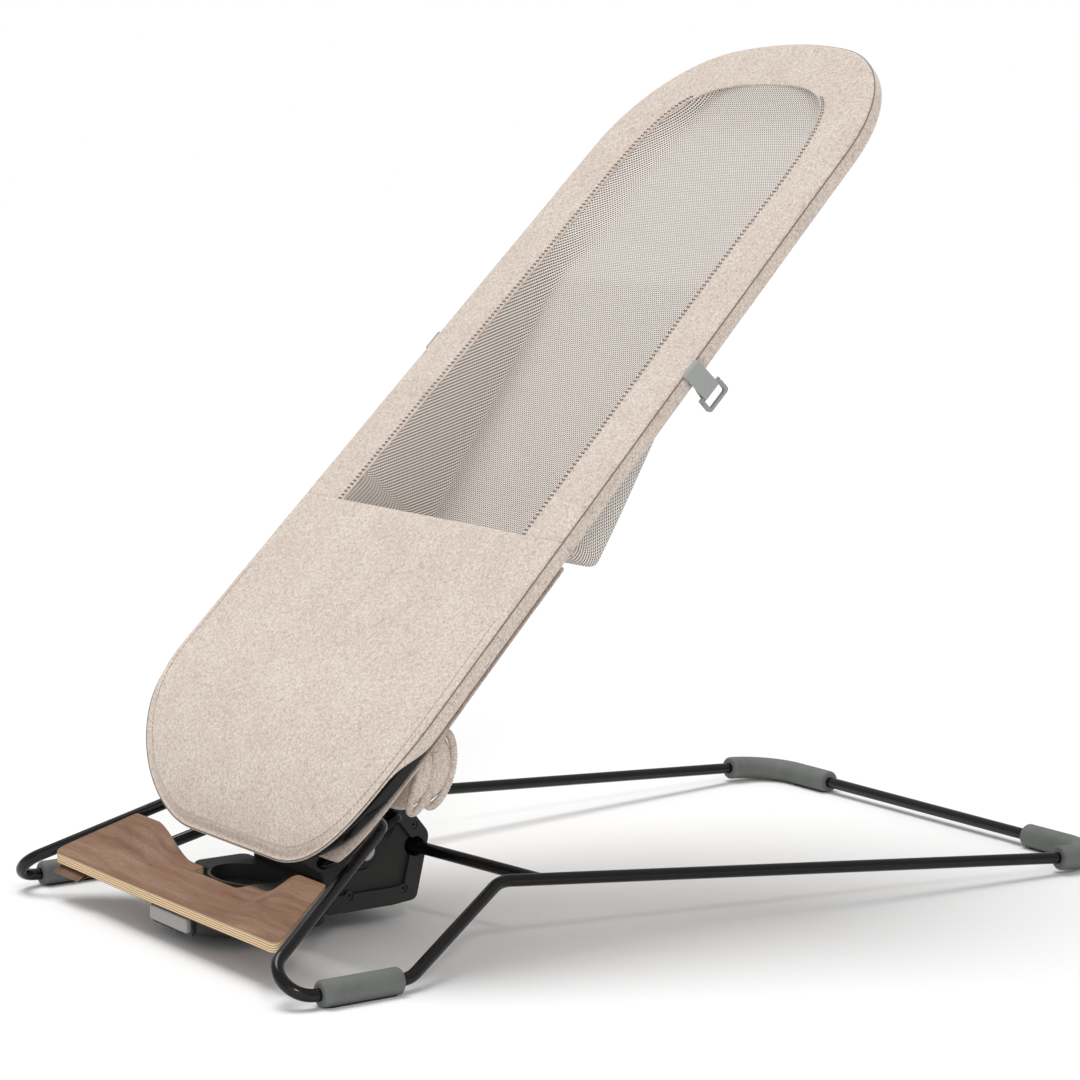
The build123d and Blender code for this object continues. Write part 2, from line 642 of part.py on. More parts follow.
def tab_plane(side, y, drop):
    """Plane under the wing of the footrest, drop millimetres below its top face."""
    half, wing, trough = ply_at(y)
    slope = math.radians(TAB_SLOPE)
    normal = Vector(0, -math.sin(slope), math.cos(slope))
    return Plane(origin=Vector(side * (half - 9), y, wing) - normal * drop, x_dir=(1, 0, 0), z_dir=normal)


PLY_NORMAL_T = PLY_T * math.cos(math.radians(TAB_SLOPE))
with BuildPart() as tabs:
    for side_name, side in SIDES:
        for y in TAB_PLACES:
            with BuildSketch(tab_plane(side, y, PLY_NORMAL_T + 0.3)):
                with Locations((-side * 2, 0)):
                    RectangleRounded(19, 16, 4)
                Circle(2.1, mode=Mode.SUBTRACT)
            extrude(amount=-TAB_T)
finish_part(tabs.part, "footrest_tabs")

with BuildPart() as tab_screws:
    for side_name, side in SIDES:
        for y in TAB_PLACES:
            with BuildSketch(tab_plane(side, y, PLY_NORMAL_T + 0.4 + TAB_T)):
                Circle(3.6)
            extrude(amount=-1.8)
            with BuildSketch(tab_plane(side, y, PLY_NORMAL_T + 0.4 + TAB_T)):
                Circle(1.9)
            extrude(amount=TAB_T + 0.05)
finish_part(tab_screws.part, "footrest_screws")

# Leather tag: a folded loop stapled under the far end of the footrest.
TAG_X, TAG_Y, TAG_W, TAG_T = -148.0, -366.0, 44.0, 1.6
with BuildPart() as tag:
    with BuildSketch(Plane(origin=(TAG_X, TAG_Y, PLY_FRONT_Z - PLY_T - 0.9), x_dir=(1, 0, 0),
                           z_dir=(0, -0.45, 0.9))):
        RectangleRounded(TAG_W, 22, 2)
    extrude(amount=-TAG_T)
finish_part(tag.part, "leather_tag")

# ---- Seat hoop ----------------------------------------------------------------

SIDE_RUN = 515.0                  # straight side of the upper hoop tube
LOWER_RUN = 34.0                  # straight start of the lower hoop tube
HOOP_DIP_R, HOOP_FOOT_R = 110.0, 112.0
FOOT_CORNER_HIGH = (181.5, -204.5, -14.2)
FOOT_CORNER_LOW = (113.5, HOOP_BAR_S, HOOP_BAR_T)

with BuildPart() as hoop_upper:
    with BuildLine(face_plane(-CLOTH - 0.4 - HOOP_R)):
        arch = JernArc((0, TOP_S - HOOP_INSET), (1, 0), TOP_R - HOOP_INSET, -TOP_TURN)
        shoulder = JernArc(arch @ 1, arch % 1, SHOULDER_R - HOOP_INSET, -SHOULDER_TURN)
        side_run = Line(shoulder @ 1, (shoulder @ 1) + (shoulder % 1) * SIDE_RUN)
        mirror(about=Plane.YZ)
    with BuildSketch(Plane(origin=side_run @ 1, z_dir=side_run % 1)):
        Circle(HOOP_R)
        Circle(HOOP_R - HOOP_WALL, mode=Mode.SUBTRACT)
    sweep()
finish_part(hoop_upper.part, "hoop_upper")

hoop_end, hoop_dir = side_run @ 1, side_run % 1

with BuildPart() as hoop_lower:
    with BuildLine():
        start = hoop_end + hoop_dir * 0.2
        straight_end = start + hoop_dir * LOWER_RUN
        right_half = [tuple(start), tuple(straight_end)]
        right_half += [seat_point(*FOOT_CORNER_HIGH), seat_point(*FOOT_CORNER_LOW)]
        left_half = [at_side(-1, point) for point in reversed(right_half)]
        path = FilletPolyline(*right_half, *left_half, radius=[HOOP_DIP_R, *[HOOP_FOOT_R] * 4, HOOP_DIP_R])
    with BuildSketch(Plane(origin=path @ 0, z_dir=path % 0)):
        Circle(HOOP_R)
        Circle(HOOP_R - HOOP_WALL, mode=Mode.SUBTRACT)
    sweep(path=path)
finish_part(hoop_lower.part, "hoop_lower")

# Spigots pressed inside both tubes where they meet.
with BuildPart() as spigots:
    for side_name, side in SIDES:
        origin = Vector(*at_side(side, tuple(hoop_end - hoop_dir * 20)))
        with BuildSketch(Plane(origin=origin, z_dir=at_side(side, tuple(hoop_dir)))):
            Circle(HOOP_R - HOOP_WALL - 0.05)
        extrude(amount=40)
finish_part(spigots.part, "hoop_spigots")

# ---- Soft cover ---------------------------------------------------------------


def opening(grow):
    """Outline of the mesh opening in the seat face, made larger by grow."""
    with BuildSketch() as face:
        with BuildLine():
            FilletPolyline(
                (-131, MESH_BOTTOM_S),
                (131, MESH_BOTTOM_S),
                (112, 340),
                (104, 440),
                (68, 478),
                (-68, 478),
                (-104, 440),
                (-112, 340),
                radius=[5, 5, 150, 36, 45, 45, 36, 150],
                close=True,
            )
        make_face()
        if grow:
            offset(amount=grow, mode=Mode.REPLACE)
    return face.sketch


# Border: the wide woven frame round the mesh, folded back over the hoop.
with BuildPart() as border:
    add(seat_slab(0, 0, -COVER_DEPTH))
    add(seat_slab(CLOTH, -CLOTH, -COVER_DEPTH - 5), mode=Mode.SUBTRACT)
    with BuildSketch(face_plane(20)):
        add(opening(0))
    extrude(amount=-60, mode=Mode.SUBTRACT)
    with BuildSketch(face_plane(60)):
        with Locations((0, MESH_BOTTOM_S - 300)):
            Rectangle(500, 600)
    extrude(amount=-200, mode=Mode.SUBTRACT)
finish_part(border.part, "cover_border")

# Front panel: the lower woven panel, curling down over the foot of the hoop.
with BuildPart() as front_panel:
    add(seat_slab(0, 0, -COVER_DEPTH))
    add(seat_slab(CLOTH, -CLOTH, -COVER_DEPTH - 5), mode=Mode.SUBTRACT)
    with BuildSketch(face_plane(60)):
        with Locations((0, MESH_BOTTOM_S - 0.2 + 300)):
            Rectangle(500, 600)
    extrude(amount=-200, mode=Mode.SUBTRACT)
    split(bisect_by=Plane.XY.offset(FOOT_Z), keep=Keep.TOP)
finish_part(front_panel.part, "cover_front_panel")

# Rear panel: the layer behind the hoop, cut away in the middle for the pivot arms.
REAR_LAYER_DEPTH = 17.4
NOTCH_HALF, NOTCH_TOP = 92.0, 128.0
with BuildPart() as rear_panel:
    add(seat_slab(2, -REAR_LAYER_DEPTH, -REAR_LAYER_DEPTH - CLOTH))
    with BuildSketch(face_plane(60)):
        with Locations((0, MESH_BOTTOM_S - 8 + 300)):
            Rectangle(500, 600)
    extrude(amount=-200, mode=Mode.SUBTRACT)
    with BuildSketch(Plane.XY):
        with Locations((0, PIVOT_Y)):
            Rectangle(2 * NOTCH_HALF, 300)
    extrude(amount=NOTCH_TOP, mode=Mode.SUBTRACT)
    split(bisect_by=Plane.XY.offset(FOOT_Z + 10), keep=Keep.TOP)
finish_part(rear_panel.part, "cover_rear_panel")

SLING_WALL, SLING_TAPER, SLING_TOP_T = 3.0, 10.0, -CLOTH - 0.5
SLING_REACH = 100.0               # deeper than the bucket, which the section then trims
SLING_OUTSIDE = ((-60, 5), (-60, -2.2), (7, -2.2), (34, -68), (54, -76), (280, -21), (500, -17), (500, 5))
SLING_INSIDE = ((11, 5), (11, -2.2), (36.5, -64.5), (54.5, -72), (280, -17.5), (472, -14), (472, 5))


def sling_bucket(grow, top_t, section):
    """Tapered bucket below the mesh opening, cut to a lengthwise section given as (s, t)."""
    with BuildPart() as bucket:
        with BuildSketch(face_plane(top_t)):
            add(opening(grow))
        extrude(amount=-SLING_REACH, taper=SLING_TAPER)
        with BuildSketch(side_plane()):
            with BuildLine():
                Polyline(*section, close=True)
            make_face()
        extrude(amount=200, both=True, mode=Mode.INTERSECT)
    return bucket.part


# Mesh sling: an open bucket that deepens towards the hips.
with BuildPart() as sling:
    add(sling_bucket(SLING_WALL, SLING_TOP_T, SLING_OUTSIDE))
    add(sling_bucket(0, SLING_TOP_T + 1, SLING_INSIDE), mode=Mode.SUBTRACT)
finish_part(sling.part, "mesh_sling")

# Stowed harness: two padded folds hanging behind the near edge of the seat.
ROLL_X, ROLL_LENGTH = 95.0, 68.0
with BuildPart() as roll:
    with BuildSketch(yz_plane(ROLL_X)):
        with BuildLine():
            FilletPolyline(
                (-259, 143),
                (-258, 121),
                (-229, 111),
                (-206, 143),
                (-212, 164),
                (-233, 171),
                radius=[3, 8, 10, 10, 10, 6],
                close=True,
            )
        make_face()
    extrude(amount=ROLL_LENGTH)
finish_part(roll.part, "harness_roll")

# ---- Side straps --------------------------------------------------------------

STRAP_S, STRAP_W, STRAP_T = 181.0, 18.0, 1.2
STRAP_MID_X = 179.2
RING_T, RING_LENGTH, RING_DEPTH, RING_THICK = -25.0, 25.0, 12.5, 3.0
RING_RIM = 3.0


def ring_axis_plane(side, low_s):
    """Plane square to the swing axis of one ring, at the given place along it."""
    return Plane(origin=seat_point(side * STRAP_MID_X, low_s, RING_T), x_dir=(1, 0, 0), z_dir=(0, COS, SIN))


for side_name, side in SIDES:
    # Webbing from the edge seam, sewn round the top bar of the ring.
    with BuildPart() as strap:
        with BuildSketch(face_plane(-1)):
            with Locations((side * STRAP_MID_X, STRAP_S)):
                Rectangle(STRAP_T, STRAP_W)
        extrude(amount=RING_T + 3.6)
        with BuildSketch(ring_axis_plane(side, STRAP_S - STRAP_W / 2)):
            Circle(2.8)
            Circle(1.9, mode=Mode.SUBTRACT)
        extrude(amount=STRAP_W)
    finish_part(strap.part, f"side_strap_{side_name}")

    # Moulded ring that swings in the webbing.
    with BuildPart() as ring:
        with BuildSketch(ring_axis_plane(side, STRAP_S - RING_LENGTH / 2)):
            Circle(RING_THICK / 2)
        extrude(amount=RING_LENGTH)
        with BuildSketch(side_plane(side * STRAP_MID_X - RING_THICK / 2)):
            with Locations((STRAP_S, RING_T - RING_DEPTH / 2)):
                RectangleRounded(RING_LENGTH, RING_DEPTH, 3)
                RectangleRounded(RING_LENGTH - 2 * RING_RIM, RING_DEPTH - 5, 2, mode=Mode.SUBTRACT)
            with Locations((STRAP_S, RING_T - 1.2)):
                Rectangle(RING_LENGTH - 2 * RING_RIM, 7.6, mode=Mode.SUBTRACT)
        extrude(amount=RING_THICK)
    finish_part(ring.part, f"strap_ring_{side_name}")
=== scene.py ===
import json
import math

import bpy
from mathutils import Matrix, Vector, noise


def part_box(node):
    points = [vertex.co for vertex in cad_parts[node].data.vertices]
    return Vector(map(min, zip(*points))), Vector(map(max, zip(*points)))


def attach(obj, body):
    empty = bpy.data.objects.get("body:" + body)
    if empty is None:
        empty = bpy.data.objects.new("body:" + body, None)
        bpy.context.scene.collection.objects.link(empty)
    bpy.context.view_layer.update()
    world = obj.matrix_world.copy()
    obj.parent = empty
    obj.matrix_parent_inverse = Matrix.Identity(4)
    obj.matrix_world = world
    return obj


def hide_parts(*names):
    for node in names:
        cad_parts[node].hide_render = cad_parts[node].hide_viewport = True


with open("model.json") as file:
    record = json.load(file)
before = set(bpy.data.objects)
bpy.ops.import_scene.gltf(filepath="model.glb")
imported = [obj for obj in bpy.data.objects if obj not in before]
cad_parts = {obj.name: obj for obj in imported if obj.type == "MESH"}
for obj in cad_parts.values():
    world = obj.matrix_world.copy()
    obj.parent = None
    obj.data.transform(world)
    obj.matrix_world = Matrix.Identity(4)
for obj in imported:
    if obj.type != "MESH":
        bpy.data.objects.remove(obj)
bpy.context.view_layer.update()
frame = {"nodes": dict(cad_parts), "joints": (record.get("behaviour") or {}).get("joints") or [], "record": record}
nodes = frame["nodes"]

MM = 0.001

# ---- Seat frame, read from the ring joint ---------------------------------------
# Seat coordinates are millimetres: x across, s up the face, t out of the face.

RING_S, RING_T = 181.0, -25.0
ring_joint = next(j for j in frame["joints"] if j["name"] == "ring_swing_right")
UP_FACE = Vector(ring_joint["axis"])
OUT_FACE = Vector((0, -UP_FACE.z, UP_FACE.y))
RING_X = ring_joint["pos_m"][0] / MM
RING_POINT = Vector((0, *ring_joint["pos_m"][1:]))
SEAT_ORIGIN = RING_POINT - (UP_FACE * RING_S + OUT_FACE * RING_T) * MM

TOP_S = 524.0
ARCH_R, ARCH_TURN = 380.0, 10.6
SHOULDER_R, SHOULDER_TURN = 119.0, 77.1
SIDE_LENGTH = 557.0
FOOT_R, FOOT_TURN = 125.0, 92.3
CURL_START, CURL_R = -152.0, 225.0
PANEL_TOP_S = 10.0
CLOTH_T = 1.2

# Half of the mesh opening, from its lower corner to the middle of the top.
OPENING = ((127, 10), (124.5, 70), (122, 130), (118, 200), (115, 262), (113.4, 325), (112.5, 375))
OPENING += ((107, 420), (93, 451), (68, 469), (36, 476), (0, 477.5))

# Edge of the cover over the hoop: inset from the outline and depth below the face.
EDGE = ((4.0, 0.1), (2.2, 0.5), (1.0, 1.3), (1.1, 2.3), (0.3, 3.2), (0.0, 5.5), (0.0, 9.0), (0.5, 12.0))
EDGE += ((1.7, 14.2), (3.8, 15.2), (8.0, 15.4), (14.0, 15.1))
SEAM_INSET, SEAM_DEPTH = 0.75, 2.2


def seat(x, s, t=0.0):
    """Point in metres from seat coordinates in millimetres."""
    return SEAT_ORIGIN + Vector((x, 0, 0)) * MM + UP_FACE * (s * MM) + OUT_FACE * (t * MM)


def curl(s):
    """How far the face lies behind its plane at the foot end."""
    past = max(0.0, CURL_START - s)
    return CURL_R - math.sqrt(CURL_R ** 2 - min(past, CURL_R) ** 2)


def clamp(value, low=0.0, high=1.0):
    return max(low, min(high, value))


def smooth(value):
    value = clamp(value)
    return value * value * (3 - 2 * value)


def walk_outline(step=5.0):
    """Right half of the seat outline from the top to the middle of the foot, as (x, s)."""
    x, s, heading = 0.0, TOP_S, 0.0
    points = [(x, s)]
    runs = ((ARCH_R, ARCH_TURN), (SHOULDER_R, SHOULDER_TURN), (None, SIDE_LENGTH), (FOOT_R, FOOT_TURN))
    for radius, turn in runs:
        length = turn if radius is None else radius * math.radians(turn)
        count = max(1, round(length / step))
        bend = 0.0 if radius is None else math.radians(turn) / count
        chord = length / count if radius is None else 2 * radius * math.sin(bend / 2)
        for _ in range(count):
            x += chord * math.cos(heading + bend / 2)
            s -= chord * math.sin(heading + bend / 2)
            heading += bend
            points.append((x, s))
    points.append((0.0, s))
    return points


def resample(points, count):
    """The same line in count equal steps of length."""
    lengths = [0.0]
    for a, b in zip(points[:-1], points[1:]):
        lengths.append(lengths[-1] + math.dist(a, b))
    found, k = [], 0
    for i in range(count):
        want = lengths[-1] * i / (count - 1)
        while k < len(points) - 2 and lengths[k + 1] < want:
            k += 1
        share = (want - lengths[k]) / max(1e-9, lengths[k + 1] - lengths[k])
        found.append(tuple(a + (b - a) * share for a, b in zip(points[k], points[k + 1])))
    return found


def curve_through(points, steps=8):
    """Smooth line through the given points, ends included."""
    line = []
    ends = [points[0], *points, points[-1]]
    for p0, p1, p2, p3 in zip(ends, ends[1:], ends[2:], ends[3:]):
        for i in range(steps):
            u = i / steps
            line.append(tuple(
                0.5 * (2 * b + (c - a) * u + (2 * a - 5 * b + 4 * c - d) * u * u
                       + (3 * b - a - 3 * c + d) * u ** 3)
                for a, b, c, d in zip(p0, p1, p2, p3)
            ))
    line.append(tuple(points[-1]))
    return line


def normals(points):
    """Unit outward normals of a line that runs clockwise from the top."""
    found = []
    for i in range(len(points)):
        a, b = points[max(0, i - 1)], points[min(len(points) - 1, i + 1)]
        dx, ds = b[0] - a[0], b[1] - a[1]
        size = math.hypot(dx, ds) or 1.0
        found.append((-ds / size, dx / size))
    return found


outline = walk_outline()
split_at = next(i for i, p in enumerate(outline) if p[0] > 100 and p[1] < PANEL_TOP_S)
above, below = outline[split_at - 1], outline[split_at]
share = (above[1] - PANEL_TOP_S) / (above[1] - below[1])
split_point = (above[0] + (below[0] - above[0]) * share, PANEL_TOP_S)
upper_outline = [*outline[:split_at], split_point]
lower_outline = [split_point, *outline[split_at:]]


def half_width(s):
    """Half the seat's width at one place along the face."""
    for a, b in zip(outline, outline[1:]):
        if b[1] <= s <= a[1] and a[0] > 60:
            return a[0] + (b[0] - a[0]) * (a[1] - s) / max(1e-9, a[1] - b[1])
    return outline[-2][0]


# ---- Mesh helpers -----------------------------------------------------------------


def add_mesh(name, points, faces, body, uv=None):
    """New mesh object from points in metres, riding on a CAD body."""
    mesh = bpy.data.meshes.new(name)
    mesh.from_pydata([tuple(p) for p in points], [], faces)
    if uv:
        layer = mesh.uv_layers.new(name="flat")
        for loop in mesh.loops:
            layer.data[loop.index].uv = uv[loop.vertex_index]
    for polygon in mesh.polygons:
        polygon.use_smooth = True
    obj = bpy.data.objects.new(name, mesh)
    bpy.context.scene.collection.objects.link(obj)
    if body:
        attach(obj, body)
    return obj


def grid_faces(rows, columns, closed=False):
    """Quads of a grid whose points are listed row by row."""
    faces = []
    for r in range(rows - 1):
        for c in range(columns if closed else columns - 1):
            d = (c + 1) % columns
            faces.append((r * columns + c, r * columns + d, (r + 1) * columns + d, (r + 1) * columns + c))
    return faces


def grid_object(name, rows, body, uv=True, closed=False):
    """Object from a list of rows of points; its UV is measured along the cloth in metres."""
    columns = len(rows[0])
    points = [p for row in rows for p in row]
    flat = None
    if uv:
        flat, down, middle = [], 0.0, columns // 2
        for r, row in enumerate(rows):
            across = [0.0] * columns
            for c in range(middle + 1, columns):
                across[c] = across[c - 1] + (row[c] - row[c - 1]).length
            for c in range(middle - 1, -1, -1):
                across[c] = across[c + 1] - (row[c] - row[c + 1]).length
            if r:
                down += (row[middle] - rows[r - 1][middle]).length
            flat.extend((reach, down) for reach in across)
    return add_mesh(name, points, grid_faces(len(rows), columns, closed), body, flat)


def merge_close(obj, distance=0.02 * MM):
    import bmesh
    work = bmesh.new()
    work.from_mesh(obj.data)
    bmesh.ops.remove_doubles(work, verts=work.verts, dist=distance)
    bmesh.ops.recalc_face_normals(work, faces=work.faces)
    work.to_mesh(obj.data)
    work.free()


def thicken(obj, thickness, smooth_levels=1, offset=-1.0):
    """Real cloth thickness, then one level of smoothing."""
    solid = obj.modifiers.new("thickness", "SOLIDIFY")
    solid.thickness = thickness * MM
    solid.offset = offset
    if smooth_levels:
        levels = obj.modifiers.new("smooth", "SUBSURF")
        levels.levels = levels.render_levels = smooth_levels


def tube(name, line, radius, body, sides=8, closed=False):
    """Round thread or cord along a line of points in metres; radius in millimetres."""
    rows = []
    count = len(line)
    last_side = None
    for i, point in enumerate(line):
        before = line[i - 1] if i or closed else line[0]
        after = line[(i + 1) % count] if i < count - 1 or closed else line[-1]
        direction = (after - before).normalized()
        side = direction.cross(last_side or Vector((0.31, 0.17, 0.93))).normalized()
        other = direction.cross(side).normalized()
        last_side = -other if last_side is None else side.cross(direction)
        turns = [k * math.tau / sides for k in range(sides)]
        rows.append([point + (side * math.cos(q) + other * math.sin(q)) * (radius * MM) for q in turns])
    if closed:
        rows.append(rows[0])
    return grid_object(name, rows, body, uv=False, closed=True)


def stitches(name, line, out, pitch, length, radius, body):
    """Row of separate thread stitches along a line; out gives the way off the cloth at each point."""
    points, faces = [], []
    lengths = [0.0]
    for a, b in zip(line, line[1:]):
        lengths.append(lengths[-1] + (b - a).length / MM)
    place, k = pitch / 2, 0
    while place < lengths[-1] - length:
        while lengths[k + 1] < place:
            k += 1
        along = (line[k + 1] - line[k]).normalized()
        centre = line[k] + along * ((place - lengths[k]) * MM)
        up = out[k]
        side = along.cross(up).normalized()
        base = len(points)
        for end, lift, wide in ((-0.5, -0.2, 0.6), (-0.3, 0.7, 1.0), (0.3, 0.7, 1.0), (0.5, -0.2, 0.6)):
            middle = centre + along * (end * length * MM) + up * (lift * radius * MM)
            for q in range(6):
                turn = q * math.tau / 6
                ring = side * math.cos(turn) + up * math.sin(turn)
                points.append(middle + ring * (wide * radius * MM))
        for r in range(3):
            for q in range(6):
                n = (q + 1) % 6
                here, after = base + r * 6, base + r * 6 + 6
                faces.append((here + q, here + n, after + n, after + q))
        faces.append(tuple(base + q for q in range(5, -1, -1)))
        faces.append(tuple(base + 18 + q for q in range(6)))
        place += pitch
    return add_mesh(name, points, faces, body)


# ---- Materials ---------------------------------------------------------------------


def material(name, colour, roughness, **sockets):
    """Material with uniform values set on the shader's own sockets."""
    made = bpy.data.materials.new(name)
    made.use_nodes = True
    shader = made.node_tree.nodes["Principled BSDF"]
    shader.inputs["Base Color"].default_value = (*colour, 1)
    shader.inputs["Roughness"].default_value = roughness
    for key, value in sockets.items():
        shader.inputs[key.replace("_", " ")].default_value = value
    return made


def put(made, kind, *links, **values):
    """Adds a node; links are (input, output socket) pairs, values set inputs or properties."""
    added = made.node_tree.nodes.new("ShaderNode" + kind)
    for key, value in values.items():
        if hasattr(added, key):
            setattr(added, key, value)
        else:
            added.inputs[key.replace("_", " ")].default_value = value
    for key, source in links:
        made.node_tree.links.new(source, added.inputs[key])
    return added


def ramp(made, source, *stops, ease="LINEAR"):
    """Colour ramp; stops are (position, colour)."""
    added = put(made, "ValToRGB", ("Fac", source))
    added.color_ramp.interpolation = ease
    elements = added.color_ramp.elements
    while len(elements) < len(stops):
        elements.new(0.5)
    for element, (position, colour) in zip(elements, stops):
        element.position = position
        element.color = (*colour, 1) if hasattr(colour, "__len__") else (colour,) * 3 + (1,)
    return added.outputs["Color"]


def grain(made, scale, detail=3.0, roughness=0.6, stretch=None, distortion=0.0):
    """Noise in object space, so it stays with the piece; scale is per metre."""
    where = put(made, "TexCoord").outputs["Object"]
    if stretch:
        where = put(made, "Mapping", ("Vector", where), Scale=stretch).outputs["Vector"]
    found = put(made, "TexNoise", ("Vector", where), Scale=scale, Detail=detail, Roughness=roughness,
                Distortion=distortion)
    return found.outputs["Fac"]


def mix(made, share_socket, first, second, kind="MIX"):
    added = put(made, "Mix", data_type="RGBA", blend_type=kind)
    colours = [i for i in added.inputs if i.type == "RGBA"]
    for socket, value in zip((added.inputs[0], *colours), (share_socket, first, second)):
        if isinstance(value, bpy.types.NodeSocket):
            made.node_tree.links.new(value, socket)
        elif hasattr(value, "__len__"):
            socket.default_value = (*value, 1)
        else:
            socket.default_value = value
    return next(o for o in added.outputs if o.type == "RGBA")


def calc(made, operation, first, second=None):
    added = put(made, "Math", operation=operation)
    for socket, value in zip(added.inputs, (first, second)):
        if isinstance(value, bpy.types.NodeSocket):
            made.node_tree.links.new(value, socket)
        elif value is not None:
            socket.default_value = value
    return added.outputs[0]


def wire(made, socket, key):
    made.node_tree.links.new(socket, made.node_tree.nodes["Principled BSDF"].inputs[key])


def bump(made, height, strength, distance):
    added = put(made, "Bump", ("Height", height), Strength=strength, Distance=distance)
    wire(made, added.outputs["Normal"], "Normal")
    return added


def heather_fabric(name, light, mid, dark):
    """Felted melange cloth: mixed light and dark yarns with a soft hairy surface."""
    made = material(name, mid, 0.92, Sheen_Weight=0.25, Sheen_Roughness=0.5)
    yarn = grain(made, 620, 4.0, 0.8)
    fleck = grain(made, 330, 3.0, 0.75, distortion=0.8)
    cloud = grain(made, 26, 3.0, 0.6)
    body = mix(made, ramp(made, yarn, (0.42, 0.0), (0.58, 1.0)), mid, light)
    flecked = mix(made, ramp(made, fleck, (0.34, 0.6), (0.50, 0.0)), body, dark)
    shaded = mix(made, ramp(made, cloud, (0.35, 0.14), (0.65, 0.0)), flecked, mid, "MULTIPLY")
    wire(made, shaded, "Base Color")
    bump(made, mix(made, 0.4, yarn, fleck), 0.45, 0.0006)
    return made


def spacer_mesh(name, light, dark):
    """Open mesh with staggered slanted holes whose dark cores are painted shade; the UV is in metres along the
    cloth.
    """
    made = material(name, light, 0.85, Sheen_Weight=0.15, Sheen_Roughness=0.5)
    pitch_u, pitch_v = 2.7 * MM, 3.4 * MM
    flat = put(made, "SeparateXYZ", ("Vector", put(made, "UVMap", uv_map="flat").outputs["UV"]))
    row = calc(made, "DIVIDE", flat.outputs["Y"], pitch_v / 2)
    shift = calc(made, "MULTIPLY", calc(made, "FLOORED_MODULO", calc(made, "FLOOR", row), 2.0), 0.5)
    column = calc(made, "ADD", calc(made, "DIVIDE", flat.outputs["X"], pitch_u), shift)
    u = calc(made, "SUBTRACT", calc(made, "FRACT", column), 0.5)
    v = calc(made, "SUBTRACT", calc(made, "FRACT", row), 0.5)
    slant = calc(made, "SUBTRACT", calc(made, "MULTIPLY", u, 1.0), calc(made, "MULTIPLY", v, 0.28))
    wide = calc(made, "POWER", calc(made, "MULTIPLY", slant, 3.1), 2.0)
    tall = calc(made, "POWER", calc(made, "MULTIPLY", v, 2.15), 2.0)
    far = calc(made, "ADD", wide, tall)
    # Each hole is painted with the dark colour as painted shade seen through the mesh; the same hole mask drives
    # the bump.
    hole_shade_mask = ramp(made, far, (0.65, 1.0), (1.1, 0.0), ease="EASE")
    thread = ramp(made, grain(made, 900, 3.0), (0.3, 0.86), (0.7, 1.0))
    wire(made, mix(made, hole_shade_mask, mix(made, 1.0, light, thread, "MULTIPLY"), dark), "Base Color")
    bump(made, calc(made, "SUBTRACT", 1.0, hole_shade_mask), 0.7, 0.0009)
    return made


def walnut_ply(name):
    """Walnut veneer along X, with pale and brown plies where the edge shows."""
    made = material(name, (0.25, 0.15, 0.10), 0.6, IOR=1.25)
    layer = put(made, "Attribute", attribute_name="ply").outputs["Fac"]
    rings = grain(made, 9, 4.0, 0.55, stretch=(0.6, 7.0, 7.0), distortion=1.2)
    fibre = grain(made, 60, 6.0, 0.75, stretch=(0.5, 14.0, 14.0))
    pores = grain(made, 120, 2.0, 0.5, stretch=(0.55, 11.0, 11.0))
    deep, middle, pale = (0.155, 0.076, 0.045), (0.255, 0.138, 0.085), (0.340, 0.205, 0.138)
    broad = ramp(made, rings, (0.30, deep), (0.5, middle), (0.72, pale))
    lined = mix(made, ramp(made, fibre, (0.35, 0.5), (0.62, 0.0)), broad, (0.13, 0.068, 0.042))
    veneer = mix(made, ramp(made, pores, (0.30, 0.55), (0.40, 0.0)), lined, (0.07, 0.035, 0.02))
    band = calc(made, "FRACT", calc(made, "ADD", calc(made, "MULTIPLY", layer, 4.5), 0.25))
    birch_grain = grain(made, 90, 4.0, 0.6, stretch=(0.6, 6.0, 8.0))
    birch = mix(made, birch_grain, (0.88, 0.68, 0.43), (0.74, 0.53, 0.31))
    dark_ply = mix(made, birch_grain, (0.30, 0.17, 0.08), (0.20, 0.105, 0.05))
    plies = mix(made, ramp(made, band, (0.64, 0.0), (0.71, 1.0), (0.90, 1.0), (0.97, 0.0)), birch, dark_ply)
    inside = ramp(made, layer, (0.03, 0.0), (0.06, 1.0), (0.94, 1.0), (0.97, 0.0))
    wire(made, mix(made, inside, veneer, plies), "Base Color")
    wire(made, calc(made, "ADD", 0.36, calc(made, "MULTIPLY", fibre, 0.24)), "Roughness")
    bump(made, calc(made, "SUBTRACT", fibre, ramp(made, pores, (0.30, 0.4), (0.40, 0.0))), 0.22, 0.0003)
    return made


def moulded_plastic(name, colour, roughness, fine=1500, strength=0.25):
    """Spark-textured moulded plastic."""
    made = material(name, colour, roughness, IOR=1.36)
    spark = grain(made, fine, 2.0, 0.6)
    patch = grain(made, 40, 3.0)
    wire(made, ramp(made, patch, (0.3, roughness - 0.05), (0.7, roughness + 0.06)), "Roughness")
    wire(made, ramp(made, patch, (0.3, colour), (0.7, [c * 1.12 for c in colour])), "Base Color")
    bump(made, spark, strength, 0.0002)
    return made


def powder_coat(name):
    """Gloss black coated tube with faint orange peel."""
    made = material(name, (0.004, 0.004, 0.0042), 0.16, IOR=1.38)
    peel = grain(made, 260, 2.0, 0.5)
    wear = grain(made, 34, 4.0, 0.6)
    wire(made, ramp(made, wear, (0.35, 0.12), (0.7, 0.22)), "Roughness")
    bump(made, peel, 0.06, 0.0004)
    return made


def soft_rubber(name, colour):
    """Matte moulded rubber with a dusty bloom."""
    made = material(name, colour, 0.72, IOR=1.45)
    pits = grain(made, 900, 3.0, 0.6)
    bloom = grain(made, 55, 4.0, 0.65)
    wire(made, ramp(made, bloom, (0.3, colour), (0.72, [c * 1.25 for c in colour])), "Base Color")
    bump(made, pits, 0.25, 0.0003)
    return made


